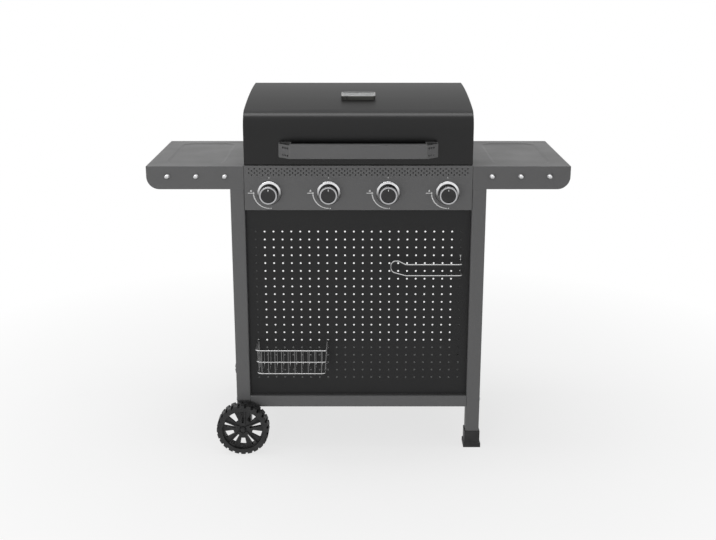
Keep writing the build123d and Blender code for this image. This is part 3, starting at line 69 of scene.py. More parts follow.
def grain(tree, place, scale, detail=3.0, stretch=(1.0, 1.0, 1.0)):
    """Noise with a given number of cells per metre, drawn out along an axis where stretch is small."""
    mapping = tree.nodes.new("ShaderNodeMapping")
    mapping.inputs["Scale"].default_value = stretch
    tree.links.new(place, mapping.inputs["Vector"])
    noise = tree.nodes.new("ShaderNodeTexNoise")
    noise.inputs["Scale"].default_value = scale
    noise.inputs["Detail"].default_value = detail
    tree.links.new(mapping.outputs["Vector"], noise.inputs["Vector"])
    return noise.outputs["Fac"]


def ranged(tree, value, start, end, low=0.0, high=1.0):
    """A value spread so that start to end becomes low to high, and held at those beyond them."""
    spread = tree.nodes.new("ShaderNodeMapRange")
    for socket, number in (("From Min", start), ("From Max", end), ("To Min", low), ("To Max", high)):
        spread.inputs[socket].default_value = number
    tree.links.new(value, spread.inputs["Value"])
    return spread.outputs["Result"]


def between(tree, value, low, high):
    """The middle part of a noise value, spread from low to high."""
    return ranged(tree, value, start=0.3, end=0.7, low=low, high=high)


def combined(tree, operation, first, second):
    """Two values joined by one step of arithmetic."""
    step = tree.nodes.new("ShaderNodeMath")
    step.operation = operation
    tree.links.new(first, step.inputs[0])
    tree.links.new(second, step.inputs[1])
    return step.outputs["Value"]


def blend_colour(tree, share, first, second):
    """A colour that goes from the first to the second as share goes from 0 to 1."""
    mix = tree.nodes.new("ShaderNodeMix")
    mix.data_type = "RGBA"
    sockets = {socket.identifier: socket for socket in mix.inputs}
    tree.links.new(share, sockets["Factor_Float"])
    for socket, colour in ((sockets["A_Color"], first), (sockets["B_Color"], second)):
        if isinstance(colour, tuple):
            socket.default_value = (*colour, 1.0)
        else:
            tree.links.new(colour, socket)
    return next(socket for socket in mix.outputs if socket.identifier == "Result_Color")


def soft_edges(tree, radius):
    """The surface's direction with its edges rounded, and how near an edge is, from 0 to 1."""
    bevel = tree.nodes.new("ShaderNodeBevel")
    bevel.samples = 6
    bevel.inputs["Radius"].default_value = radius
    plain = tree.nodes.new("ShaderNodeNewGeometry")
    dot = tree.nodes.new("ShaderNodeVectorMath")
    dot.operation = "DOT_PRODUCT"
    tree.links.new(bevel.outputs["Normal"], dot.inputs[0])
    tree.links.new(plain.outputs["Normal"], dot.inputs[1])
    return bevel.outputs["Normal"], ranged(tree, dot.outputs["Value"], start=0.995, end=0.85)


def relief(tree, shader, height, depth, normal=None):
    """Raises the surface by up to depth metres where height is 1."""
    bump = tree.nodes.new("ShaderNodeBump")
    bump.inputs["Strength"].default_value = 1.0
    bump.inputs["Distance"].default_value = depth
    tree.links.new(height, bump.inputs["Height"])
    if normal is not None:
        tree.links.new(normal, bump.inputs["Normal"])
    tree.links.new(bump.outputs["Normal"], shader.inputs["Normal"])


def coated_metal(name, dark, light, edge_highlight, rough, peel, depth, fold, gloss=0.5):
    """Powder coat: flake as fine noise between two colours, cloudy sheen, orange peel, and a painted
    highlight that lightens the edges unevenly.
    """
    material, tree, shader, place = blank_material(name)
    normal, edge = soft_edges(tree, fold)
    flake = blend_colour(tree, between(tree, grain(tree, place, 1800.0, 2.0), 0.0, 1.0), dark, light)
    # Painted highlight: the coat's colour goes lighter along edges, unevenly.
    edge_highlight_share = combined(tree, "MULTIPLY", edge, between(tree, grain(tree, place, 60.0), 0.2, 0.9))
    tree.links.new(blend_colour(tree, edge_highlight_share, flake, edge_highlight), shader.inputs["Base Color"])
    cloud = between(tree, grain(tree, place, 9.0), rough - 0.04, rough + 0.05)
    tree.links.new(cloud, shader.inputs["Roughness"])
    shader.inputs["Specular IOR Level"].default_value = gloss
    relief(tree, shader, grain(tree, place, peel, 2.0), depth, normal)
    return material


def dress(names, material):
    """Gives a finish to nodes of the frame."""
    for name in names:
        nodes[name].data.materials.clear()
        nodes[name].data.materials.append(material)


graphite = coated_metal("graphite_powder_coat", (0.092, 0.092, 0.093), (0.122, 0.122, 0.123), grey(0.18),
                        rough=0.46, peel=420.0, depth=0.00003, fold=0.0022, gloss=0.35)
dress(("leg_front_left", "leg_front_right", "leg_rear_left", "leg_rear_right"), graphite)
dress(("front_rail", "rear_rail", "side_rails", "firebox_beams", "bottom_shelf"), graphite)


# Frame screws and axle: cold-headed and drawn steel with a bright zinc coat.
# The screws hold the rails between the legs, and the axle is a plain rod through both left legs.
def bare_metal(name, dull, bright, rough, scale, stretch, depth):
    """Bare or plated metal: drawn-out noise for rolling or polishing lines, cloudy tint and sheen."""
    material, tree, shader, place = blank_material(name)
    lines = grain(tree, place, scale, 4.0, stretch)
    tint = blend_colour(tree, between(tree, lines, 0.0, 1.0), dull, bright)
    tree.links.new(tint, shader.inputs["Base Color"])
    cloud = between(tree, grain(tree, place, 35.0), rough * 0.75, rough * 1.3)
    tree.links.new(cloud, shader.inputs["Roughness"])
    shader.inputs["Metallic"].default_value = 1.0
    relief(tree, shader, lines, depth)
    return material


zinc = bare_metal("bright_zinc", (0.5, 0.51, 0.53), (0.68, 0.69, 0.7),
                  rough=0.3, scale=240.0, stretch=(1.0, 1.0, 1.0), depth=0.00001)
dress(("frame_screws", "axle"), zinc)


# Feet: moulded plastic cups that the right legs stand in, flared at the floor.
# Black plastic with the fine grain of an etched mould.
def moulded_plastic(name, dark, light, rough, scale, depth, fold, gloss=0.3):
    """Moulded plastic: a fine pebbled grain, a faint tint, and rounded edges lightened to the light tint as a
    painted highlight.
    """
    material, tree, shader, place = blank_material(name)
    normal, edge = soft_edges(tree, fold)
    pebble = tree.nodes.new("ShaderNodeTexVoronoi")
    pebble.inputs["Scale"].default_value = scale
    tree.links.new(place, pebble.inputs["Vector"])
    tint = blend_colour(tree, between(tree, grain(tree, place, 45.0), 0.0, 1.0), dark, light)
    # Painted highlight: along edges the colour goes to the light tint.
    tree.links.new(blend_colour(tree, edge, tint, light), shader.inputs["Base Color"])
    sheen = between(tree, grain(tree, place, 120.0), rough - 0.05, rough + 0.06)
    tree.links.new(sheen, shader.inputs["Roughness"])
    shader.inputs["Specular IOR Level"].default_value = gloss
    relief(tree, shader, pebble.outputs["Distance"], depth, normal)
    return material


black_plastic = moulded_plastic("black_moulded_plastic", (0.018, 0.018, 0.0185), (0.03, 0.03, 0.0305),
                                rough=0.5, scale=1300.0, depth=0.00005, fold=0.0015)
dress(("feet",), black_plastic)


# Wheels: one-piece blown plastic with a lugged tread, spinning on the axle.
# The same black plastic as the feet; push-on caps of it close the axle's ends.
dress(("wheel_front", "wheel_rear", "axle_nuts"), black_plastic)


# Pegboard: a black steel sheet with a grid of punched holes, folded back along its edges.
# Fine-textured black powder coat.
black_coat = coated_metal("black_powder_coat", (0.018, 0.018, 0.0183), (0.0245, 0.0245, 0.0249), grey(0.044),
                          rough=0.5, peel=900.0, depth=0.00005, fold=0.0012, gloss=0.18)
dress(("pegboard",), black_coat)


# Side shelves: pans folded from one sheet with a shallow sunk field, carried by angle brackets on the legs.
# Graphite powder coat as on the frame.
dress(("left_shelf", "right_shelf", "shelf_braces"), graphite)


# Apron pegs: turned mushroom pegs, riveted through the shelves' front aprons.
# Polished steel with bright chrome plate, with painted shade where the pegs face down.
def grid_piece(name, grids, wrap_rows=False):
    """One mesh from grids of points shaped (pieces, rows, columns, 3). Neighbours are joined by quads,
    columns always close into a ring, and rows do too if asked. Points that fall together are merged."""
    grids = np.asarray(grids, float)
    count, rows, columns = grids.shape[:3]
    row = np.arange(rows if wrap_rows else rows - 1)[:, None]
    column = np.arange(columns)[None, :]
    next_row, next_column = (row + 1) % rows, (column + 1) % columns
    corners = [row * columns + column, row * columns + next_column,
               next_row * columns + next_column, next_row * columns + column]
    quads = np.stack([np.broadcast_to(c, (len(row), columns)) for c in corners], -1).reshape(-1, 4)
    faces = (quads[None] + (np.arange(count) * rows * columns)[:, None, None]).reshape(-1, 4)
    mesh = bpy.data.meshes.new(name)
    mesh.from_pydata(grids.reshape(-1, 3), [], faces)
    work = bmesh.new()
    work.from_mesh(mesh)
    bmesh.ops.remove_doubles(work, verts=work.verts, dist=1e-7)
    bmesh.ops.recalc_face_normals(work, faces=work.faces)
    work.to_mesh(mesh)
    work.free()
    mesh.shade_smooth()
    mesh.set_sharp_from_angle(angle=np.radians(40.0))
    piece = bpy.data.objects.new(name, mesh)
    bpy.context.scene.collection.objects.link(piece)
    return piece


def turned(outline, centres, columns):
    """Turned forms that face the front. Each (radius, reach) point of the outline is carried round the
    Y axis from each centre: x is the radius times the cosine of the turn, z the radius times its sine,
    and y goes to the front by the reach."""
    radius, reach = np.asarray(outline, float).T
    turn = np.linspace(0.0, 2.0 * np.pi, columns, endpoint=False)
    ring = np.stack([radius[:, None] * np.cos(turn), np.repeat(-reach[:, None], columns, 1),
                     radius[:, None] * np.sin(turn)], -1)
    return np.asarray(centres, float)[:, None, None, :] + ring[None]


def rounded(start, end, corner, steps=6):
    """Points of a quarter bend from start to end, pulled towards the corner as a quadratic curve."""
    share = np.linspace(0.0, 1.0, steps)[:, None]
    start, end, corner = (np.asarray(p, float) for p in (start, end, corner))
    return ((1 - share) ** 2 * start + 2 * share * (1 - share) * corner + share ** 2 * end).tolist()


def finish_piece(piece, body, material, slot, *stands_for):
    """Gives a new piece its finish and its body, and hides the nodes that it stands for."""
    piece.data.materials.append(material)
    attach(piece, body)
    if stands_for:
        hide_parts(*stands_for)


def facing_up(tree):
    """The upward part of the surface's direction, from -1 to 1."""
    parts = tree.nodes.new("ShaderNodeSeparateXYZ")
    tree.links.new(tree.nodes.new("ShaderNodeNewGeometry").outputs["Normal"], parts.inputs["Vector"])
    return parts.outputs["Z"]


def metal_with_painted_shade(name, painted_shade, dull, bright, rough, turn_dark, turn_bright):
    """Polished metal with painted light: it keeps its bright tint where it faces up and goes to painted shade
    where it faces down; the tint's share follows the upward part of the surface's direction between two
    values."""
    material = bare_metal(name, dull, bright, rough, scale=300.0, stretch=(1.0, 1.0, 1.0), depth=0.000002)
    tree = material.node_tree
    shader = tree.nodes["Principled BSDF"]
    # Painted shade and highlight: the colour is set by which way the surface faces, not by the lamps.
    share = ranged(tree, facing_up(tree), turn_dark, turn_bright)
    shine = shader.inputs["Base Color"].links[0].from_socket
    tree.links.new(blend_colour(tree, share, painted_shade, shine), shader.inputs["Base Color"])
    return material


# Painted shade: the chrome goes dark where it faces down, set by the surface's direction.
peg_chrome = metal_with_painted_shade("peg_chrome", grey(0.14), (0.76, 0.76, 0.77), (0.86, 0.86, 0.87),
                          rough=0.1, turn_dark=-0.5, turn_bright=0.35)
peg_first, peg_step, peg_drop = 0.381, 0.082, 0.029
peg_head, peg_neck, peg_reach, peg_rivet = 0.007, 0.004, 0.015, 0.005
shelf_low, shelf_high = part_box("right_shelf")
apron_face = shelf_low[1]
peg_centres = [(side * (peg_first + peg_step * i), apron_face, shelf_high[2] - peg_drop)
               for side in (-1, 1) for i in range(3)]
peg_shank, rivet_radius, rivet_bevel, apron_sheet = 0.0025, 0.005, 0.0045, 0.001
collar_radius, collar_height, neck_start, neck_end = 0.0065, 0.0008, 0.0014, 0.0068
head_edge, head_pull, head_crown = 0.0105, 0.0078, 0.92
peg_outline = [(0.0, -peg_rivet), (rivet_bevel, -peg_rivet), (rivet_radius, -rivet_bevel),
               (rivet_radius, -apron_sheet), (peg_shank, -apron_sheet), (peg_shank, 0.0),
               (collar_radius, 0.0), (collar_radius, collar_height),
               (peg_neck, neck_start), (peg_neck, neck_end)]
peg_outline += rounded((peg_neck, neck_end), (peg_head, head_edge), (peg_head, head_pull))
peg_outline += rounded((peg_head, head_edge), (0.0, peg_reach), (peg_head * head_crown, peg_reach), 9)
pegs = grid_piece("utensil_pegs_turned", turned(peg_outline, peg_centres, 40))
finish_piece(pegs, "cart", peg_chrome, "chrome", "utensil_pegs")


# Firebox: an open tub of pressed steel, hung by its side flanges on the upper beams.
# Matt black heat-proof coat; the hinge brackets and tray runners are welded to it.
heat_coat = coated_metal("heat_proof_coat", grey(0.028), (0.045, 0.044, 0.043), (0.09, 0.085, 0.08),
                         rough=0.62, peel=700.0, depth=0.00006, fold=0.001)
dress(("firebox", "hinge_brackets", "tray_runners"), heat_coat)


# Gas train: a square manifold pipe of zinc-plated steel, brass valves, stems and hose fitting.
# The valves are screwed onto the pipe, and their nozzles point into the burners.
brass = bare_metal("turned_brass", (0.52, 0.36, 0.14), (0.7, 0.52, 0.25),
                   rough=0.28, scale=500.0, stretch=(1.0, 0.15, 1.0), depth=0.000006)
dress(("manifold",), zinc)
dress(("gas_valves", "gas_inlet", "stem_1", "stem_2", "stem_3", "stem_4"), brass)


# Burners and heat plates: tubes and folded roofs of plain stainless steel, seated in the firebox.
# Rolling lines run along the sheet, and the sheen is uneven.
stainless = bare_metal("plain_stainless", (0.42, 0.41, 0.4), (0.6, 0.59, 0.57),
                       rough=0.34, scale=420.0, stretch=(1.0, 0.08, 1.0), depth=0.000008)
dress(("burner_1", "burner_2", "burner_3", "burner_4", "heat_plates"), stainless)


# Igniter electrodes: glazed ceramic rods through the firebox wall.
# Off-white glaze with a faint craze of darker lines.
ceramic, tree, shader, place = blank_material("glazed_ceramic")
craze = tree.nodes.new("ShaderNodeTexVoronoi")
craze.feature = "DISTANCE_TO_EDGE"
craze.inputs["Scale"].default_value = 260.0
tree.links.new(place, craze.inputs["Vector"])
line = ranged(tree, craze.outputs["Distance"], start=0.0, end=0.04)
glaze = blend_colour(tree, line, (0.55, 0.5, 0.42), (0.8, 0.78, 0.71))
tree.links.new(glaze, shader.inputs["Base Color"])
shader.inputs["Roughness"].default_value = 0.18
dress(("igniter_electrodes",), ceramic)


# Cooking grates: two grey-iron castings that lie loose on the firebox ledges.
# Matt seasoned black with the pitted skin of a sand mould.
cast_iron, tree, shader, place = blank_material("seasoned_cast_iron")
skin = grain(tree, place, 420.0, 6.0)
patches = between(tree, grain(tree, place, 25.0, 5.0), 0.0, 1.0)
season = blend_colour(tree, patches, (0.018, 0.017, 0.016), (0.05, 0.047, 0.044))
tree.links.new(season, shader.inputs["Base Color"])
tree.links.new(between(tree, skin, 0.5, 0.8), shader.inputs["Roughness"])
shader.inputs["Metallic"].default_value = 0.4
relief(tree, shader, skin, 0.0003)
dress(("grate_left", "grate_right"), cast_iron)


# Warming rack: bent wire frames with long wires welded across, standing on the grates.
# Chrome-plated steel wire, softer than the trim.
wire_chrome = bare_metal("plated_wire", (0.55, 0.55, 0.56), grey(0.7),
                         rough=0.24, scale=500.0, stretch=(0.2, 1.0, 1.0), depth=0.000006)
dress(("warming_rack",), wire_chrome)


# Grease tray: a zinc-coated steel tray that slides on the runners from the rear, with a drawn cup in it.
# Hot-dip zinc with its large crystal pattern on the tray, and plain stainless steel on the cup.
galvanised, tree, shader, place = blank_material("galvanised_sheet")
crystal = tree.nodes.new("ShaderNodeTexVoronoi")
crystal.inputs["Scale"].default_value = 110.0
tree.links.new(place, crystal.inputs["Vector"])
tone = tree.nodes.new("ShaderNodeRGBToBW")
tree.links.new(crystal.outputs["Color"], tone.inputs["Color"])
spangle = blend_colour(tree, tone.outputs["Val"], (0.42, 0.43, 0.45), (0.62, 0.63, 0.65))
tree.links.new(spangle, shader.inputs["Base Color"])
tree.links.new(between(tree, tone.outputs["Val"], 0.32, 0.5), shader.inputs["Roughness"])
shader.inputs["Metallic"].default_value = 1.0
relief(tree, shader, tone.outputs["Val"], 0.00001)
dress(("grease_tray",), galvanised)
dress(("grease_cup",), stainless)


# Control panel: a folded steel panel between the legs with four staggered rows of vent holes.
# Graphite powder coat, with the burner marks printed on it in light grey.
dress(("control_panel",), graphite)
print_ink, tree, shader, place = blank_material("light_grey_print")
speckle = between(tree, grain(tree, place, 2500.0, 2.0), 0.0, 1.0)
tree.links.new(blend_colour(tree, speckle, grey(0.5), grey(0.68)), shader.inputs["Base Color"])
tree.links.new(between(tree, grain(tree, place, 300.0), 0.45, 0.6), shader.inputs["Roughness"])
panel_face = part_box("control_panel")[0][1]
ink_back, ink_front = 0.00003, 0.00018


def printed_band(centres, radius, width_start, width_end, start, end, steps=40):
    """Bands of ink along an arc: the ring's four corners are at radius plus or minus half the width,
    front and back, and the ring is carried from one angle to the other. A point in the ring's middle
    closes each end."""
    share = np.linspace(0.0, 1.0, steps)
    angle = np.radians(start + (end - start) * share)
    half = 0.5 * (width_start + (width_end - width_start) * share)
    across = np.stack([radius - half, radius + half, radius + half, radius - half], -1)
    reach = np.broadcast_to([ink_back, ink_back, ink_front, ink_front], across.shape)
    ring = np.stack([across * np.cos(angle)[:, None], -reach, across * np.sin(angle)[:, None]], -1)
    ends = [np.repeat(ring[i].mean(0)[None], 4, 0) for i in (0, -1)]
    band = np.concatenate([ends[0][None], ring, ends[1][None]])
    return np.asarray(centres, float)[:, None, None, :] + band[None]


def printed_patch(centres, outline):
    """Patches of ink: a closed (x, z) outline between its middle in front and its middle behind."""
    x, z = np.asarray(outline, float).T
    rows = [(0.0, ink_back), (1.0, ink_back), (1.0, ink_front), (0.0, ink_front)]
    mid_x, mid_z = x.mean(), z.mean()
    patch = [np.stack([mid_x + s * (x - mid_x), np.full_like(x, -reach), mid_z + s * (z - mid_z)], -1)
             for s, reach in rows]
    return np.asarray(centres, float)[:, None, None, :] + np.stack(patch)[None]


def at_angle(centres, radius, degrees):
    """Centres moved by a radius in a direction on the panel."""
    shift = (radius * np.cos(np.radians(degrees)), 0.0, radius * np.sin(np.radians(degrees)))
    return np.asarray(centres, float) + shift


def flame(height):
    """A flame as a drop: its level follows the cosine of a turn, its half width the sine times one less
    the cosine, and it leans aside by the square of the level."""
    half_width, widest, lean, middle = 0.42, 1.3, 0.12, 0.4
    t = np.linspace(0.0, 2.0 * np.pi, 28, endpoint=False)
    z = height * (0.5 + 0.5 * np.cos(t))
    x = half_width * height * np.sin(t) * (1.0 - np.cos(t)) / widest
    return np.stack([x + lean * height * (z / height) ** 2, z - middle * height], -1)


knob_boxes = [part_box("knob_" + str(number)) for number in range(1, 5)]
knob_centres = [((low[0] + high[0]) / 2, panel_face, (low[2] + high[2]) / 2) for low, high in knob_boxes]
mark_radius, dot_radius, dash_half, dash_rise = 0.0455, 0.0027, 0.007, 0.0011
dash = [(-dash_half, -dash_rise), (dash_half, -dash_rise), (dash_half, dash_rise), (-dash_half, dash_rise)]
round_turn = np.linspace(0.0, 2.0 * np.pi, 20, endpoint=False)
dot = dot_radius * np.stack([np.cos(round_turn), np.sin(round_turn)], -1)
high_flame, low_flame = 0.0068, 0.0042
flame_shift = (-mark_radius - high_flame, 0.0, 0.0058)
marks = {
    "burner_arcs": printed_band(knob_centres, mark_radius, 0.0034, 0.002, 186.0, 270.0),
    "off_marks": printed_band(knob_centres, mark_radius - 0.002, 0.0022, 0.0022, 88.0, 92.0, 8),
    "ignition_dots": printed_patch(at_angle(knob_centres, mark_radius, 181.0), dot),
    "ignition_dashes": printed_patch(at_angle(knob_centres, mark_radius + 0.009, 181.0), dash),
    "high_flames": printed_patch(np.asarray(knob_centres) + flame_shift, flame(high_flame)),
    "low_flames": printed_patch(at_angle(knob_centres, mark_radius, 275.0), flame(low_flame)),
}
for name, grids in marks.items():
    finish_piece(grid_piece(name, grids), "cart", print_ink, "graphite_paint")


# Knob bezels: pressed rings around the knobs, clipped into the panel.
# Bright chrome with a dished flank, darkened below by painted shade.
# Painted shade: the chrome goes dark where the bezel faces down, set by the surface's direction.
bezel_chrome = metal_with_painted_shade("bezel_chrome", grey(0.1), (0.72, 0.72, 0.73), (0.84, 0.84, 0.85),
                            rough=0.12, turn_dark=-0.12, turn_bright=0.28)
bezel_low, bezel_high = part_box("knob_bezels")
bezel_reach = bezel_high[1] - bezel_low[1]
bezel_radius = knob_centres[0][0] - bezel_low[0]
bezel_inner, bezel_shoulder = bezel_radius - 0.0085, bezel_radius - 0.0032
bezel_crest, crest_pull = bezel_radius - 0.0075, 0.0014
bezel_edge, shoulder_reach, shoulder_pull = 0.0014, bezel_reach - 0.0022, 0.0012
edge, shoulder = (bezel_radius, bezel_edge), (bezel_shoulder, shoulder_reach)
crest, lip = (bezel_crest, bezel_reach), (bezel_inner, bezel_reach - 0.001)
bezel_outline = [(bezel_inner, 0.0), (bezel_radius, 0.0), edge]
bezel_outline += rounded(edge, shoulder, (bezel_radius, shoulder_reach - shoulder_pull), 10)
bezel_outline += rounded(shoulder, crest, (bezel_crest + crest_pull, bezel_reach), 8)
bezel_outline += rounded(crest, lip, (bezel_inner, bezel_reach), 5)
bezels = grid_piece("knob_bezels_pressed", turned(bezel_outline, knob_centres, 96), wrap_rows=True)
finish_piece(bezels, "cart", bezel_chrome, "chrome", "knob_bezels")


# Control knobs: moulded black grips with a chromed rim and a sunk face with a pointer.
# Each is pushed onto its valve stem; the grip has shallow flutes for the fingers.
knob_plastic = moulded_plastic("black_knob_plastic", (0.016, 0.016, 0.017), (0.028, 0.028, 0.029),
                               rough=0.34, scale=1800.0, depth=0.00002, fold=0.0006, gloss=0.35)
face_plastic = moulded_plastic("satin_knob_face", (0.022, 0.022, 0.0225), (0.03, 0.03, 0.0305),
                               rough=0.42, scale=2200.0, depth=0.00002, fold=0.0004)
rim_satin = bare_metal("satin_knob_rim", (0.4, 0.4, 0.41), (0.52, 0.52, 0.53),
                       rough=0.22, scale=900.0, stretch=(1.0, 1.0, 1.0), depth=0.000003)
knob_low, knob_high = knob_boxes[0]
knob_radius = (knob_high[0] - knob_low[0]) / 2
knob_front, knob_back = panel_face - knob_low[1], panel_face - knob_high[1]
grip_columns, fine_columns = 240, 96
bore_radius, bore_depth, foot_radius, foot_edge, foot_bevel = 0.00405, 0.0223, 0.0222, 0.023, 0.0008
flank_radius, flank_flare, flank_start, flank_length, flank_rows = 0.0232, 0.0006, 0.002, 0.0216, 8
flutes, flute_depth, flute_end, mouth_radius = 24, 0.0005, 0.2, 0.0242
rim_depth, rim_lift, rim_radius, rim_gap = 0.0105, 0.0003, 0.0247, 0.0002
flare_end, flare_pull, rim_round, rim_land, lip_land, lip_depth = 0.008, 0.0102, 0.003, 0.0022, 0.0018, 0.0016
face_radius, face_sink, face_seat, face_thick, face_gap = 0.0205, 0.0015, 0.0012, 0.001, 0.0003
face_wall, face_bevel, face_shoulder = 0.0008, 0.0012, 0.0011
crown_radius, crown_height, crown_fall = 0.018, 0.0016, 0.0005
pointer_lift, pointer_up = 0.0004, 0.0155
pointer_outline = [(-0.0011, -0.0025), (0.0011, -0.0025), (0.0014, 0.0028), (-0.0014, 0.0028)]
for number, centre in enumerate(knob_centres, 1):
    body = "control_knob_" + str(number)
    bore_end, rim_seat = knob_back + bore_depth, knob_front - rim_depth
    seat = knob_front - face_sink - face_seat
    foot = [(0.0, bore_end), (bore_radius, bore_end), (bore_radius, knob_back),
            (foot_radius, knob_back), (foot_edge, knob_back + foot_bevel)]
    flank = [(flank_radius + flank_flare * s, knob_back + flank_start + flank_length * s)
             for s in np.linspace(0.0, 1.0, flank_rows)]
    mouth = [(mouth_radius, rim_seat), (face_radius, rim_seat), (face_radius, seat), (0.0, seat)]
    grid = turned(foot + flank + mouth, [centre], grip_columns)
    # The flank's radius shrinks by the flutes' depth times one plus a cosine with one wave for each flute.
    turn = np.linspace(0.0, 2.0 * np.pi, grip_columns, endpoint=False)
    fluted = [0.0] * len(foot) + [flute_end] + [1.0] * (flank_rows - 2) + [flute_end] + [0.0] * len(mouth)
    dent = 1.0 - np.array(fluted)[:, None] * flute_depth / knob_radius * (1.0 + np.cos(flutes * turn))
    for axis in (0, 2):
        grid[0, :, :, axis] = centre[axis] + (grid[0, :, :, axis] - centre[axis]) * dent
    grip = grid_piece("knob_grip_" + str(number), grid)
    finish_piece(grip, body, knob_plastic, "knob_plastic", "knob_" + str(number))
    rim_back, rim_inner = rim_seat + rim_lift, face_radius + rim_gap
    rim_outline = [(rim_inner, rim_back), (rim_radius, rim_back)]
    rim_outline += rounded((rim_radius, rim_back), (knob_radius, knob_front - flare_end),
                           (knob_radius, knob_front - flare_pull), 5)
    rim_outline += rounded((knob_radius, knob_front - rim_round), (knob_radius - rim_land, knob_front),
                           (knob_radius, knob_front), 7)
    rim_outline += rounded((face_radius + lip_land, knob_front), (rim_inner, knob_front - lip_depth),
                           (rim_inner, knob_front), 6)
    rim = grid_piece("knob_rim_" + str(number), turned(rim_outline, [centre], fine_columns), wrap_rows=True)
    finish_piece(rim, body, rim_satin, "chrome")
    # The face is slightly crowned: it falls off with the square of the radius.
    face_back, face_edge = knob_front - face_sink - face_thick, face_radius - face_gap
    face_outline = [(0.0, face_back), (face_edge, face_back), (face_edge, face_back + face_wall),
                    (face_radius - face_bevel, face_back + face_shoulder)]
    face_outline += [(r, face_back + crown_height - crown_fall * (r / face_radius) ** 2)
                     for r in np.linspace(crown_radius, 0.0, 8)]
    face = grid_piece("knob_face_" + str(number), turned(face_outline, [centre], fine_columns))
    finish_piece(face, body, face_plastic, "knob_plastic")
    pointer_place = (centre[0], panel_face - knob_front + face_sink - pointer_lift, centre[2] + pointer_up)
    pointer = printed_patch([pointer_place], pointer_outline)
    finish_piece(grid_piece("knob_pointer_" + str(number), pointer), body, print_ink, "chrome")


# Lid: front, top and rear bent from one steel sheet, with flat end plates and hinge ears welded on.
# Smooth black heat-proof coat, glossy on the front and bend and dulled by heat and weather on top.
lid_coat = coated_metal("smooth_black_coat", (0.003, 0.003, 0.0031), (0.0045, 0.0045, 0.0046), grey(0.012),
                        rough=0.3, peel=300.0, depth=0.000004, fold=0.0016)
tree = lid_coat.node_tree
shader = tree.nodes["Principled BSDF"]
place = tree.nodes.new("ShaderNodeTexCoord").outputs["Object"]
uneven = combined(tree, "ADD", facing_up(tree), between(tree, grain(tree, place, 9.0), -0.008, 0.008))
for socket, on_front, on_top in (("Roughness", 0.25, 0.47), ("Specular IOR Level", 0.36, 0.18)):
    weathered = ranged(tree, uneven, start=0.9, end=0.98, low=on_front, high=on_top)
    tree.links.new(weathered, shader.inputs[socket])
dress(("lid_shell", "lid_ends", "lid_hinge_ears"), lid_coat)
dress(("hinge_pins",), zinc)
dark_steel = bare_metal("blackened_steel", grey(0.03), grey(0.06),
                        rough=0.4, scale=300.0, stretch=(1.0, 1.0, 1.0), depth=0.00001)
dress(("handle_bolts",), dark_steel)


# Lid bumpers: small pads under the front hem that the lid comes down on.
# Heat-proof rubber, dull and slightly dusty.
rubber = moulded_plastic("bumper_rubber", grey(0.03), grey(0.06),
                         rough=0.8, scale=900.0, depth=0.00004, fold=0.0008)
dress(("lid_bumpers",), rubber)


# Lid handle: a folded box bar between two angled brackets with cooling holes, bolted through the lid.
# Graphite powder coat as on the frame.
dress(("lid_handle", "handle_brackets"), graphite)


# Lid thermometer: a flat case on the lid's top with a dial, a needle and a glass window.
# The case is plated, lighter on top and darkened on its flanks by painted shade; the dial is dark enamel with
# a light arched scale.
# Painted shade: the case goes dark where it faces sideways or down, set by the surface's direction.
case_metal = metal_with_painted_shade("gauge_case_metal", (0.14, 0.14, 0.13), grey(0.25), grey(0.34),
                          rough=0.3, turn_dark=0.55, turn_bright=0.9)
dress(("gauge_housing",), case_metal)
glass, tree, shader, place = blank_material("clear_window")
smear = between(tree, grain(tree, place, 70.0), 0.02, 0.08)
tree.links.new(smear, shader.inputs["Roughness"])
shader.inputs["Base Color"].default_value = (0.95, 0.97, 0.97, 1.0)
shader.inputs["Transmission Weight"].default_value = 1.0
shader.inputs["IOR"].default_value = 1.28
dress(("gauge_lens",), glass)
needle_red = coated_metal("needle_red", (0.45, 0.04, 0.03), (0.6, 0.07, 0.05), (0.7, 0.3, 0.25),
                          rough=0.4, peel=800.0, depth=0.00001, fold=0.0003)
dress(("gauge_needle",), needle_red)
joints = frame["record"]["behaviour"]["joints"]
needle_joint = next(j for j in joints if j["name"] == "thermometer_needle_turn")
dial_up = -np.asarray(needle_joint["axis"], float)
dial_right = np.array([1.0, 0.0, 0.0])
dial_lift, dial_thick, hub_hole = -0.001, 0.0003, 0.0038
dial_half_width, dial_front, dial_back = 0.0445, 0.0055, 0.0375


def on_dial(grids):
    """Moves forms drawn like panel print, in x and z with -y as their height, onto the tilted dial."""
    axes = np.stack([dial_right, -dial_up, np.cross(dial_up, dial_right)])
    return np.asarray(grids, float) @ axes + (np.asarray(needle_joint["pos_m"], float) + dial_up * dial_lift)


# The plate reaches out along each ray as far as the nearer of its side and its end, round the hub's hole.
ray = np.linspace(0.0, 2.0 * np.pi, 240, endpoint=False)
side_reach = dial_half_width / np.maximum(np.abs(np.cos(ray)), 1e-6)
end_reach = np.where(np.sin(ray) > 0, dial_back, dial_front) / np.maximum(np.abs(np.sin(ray)), 1e-6)
reach = np.minimum(side_reach, end_reach)
hole, dial_floor = np.full_like(ray, hub_hole), 0.0001
ring_rows = [(hole, dial_floor), (reach, dial_floor), (reach, dial_thick), (hole, dial_thick)]
plate = np.stack([np.stack([r * np.cos(ray), np.full_like(ray, -h), r * np.sin(ray)], -1)
                  for r, h in ring_rows])
enamel = coated_metal("dial_enamel", grey(0.02), grey(0.03), grey(0.06), rough=0.45,
                      peel=600.0, depth=0.00001, fold=0.0002, gloss=0.15)
finish_piece(grid_piece("dial_plate", on_dial(plate[None]), wrap_rows=True), "lid", enamel, "black_paint")
on_plate = [(0.0, -dial_thick, 0.0)]
scale_radius, scale_width, scale_start, scale_end = 0.0305, 0.0022, 152.0, 28.0
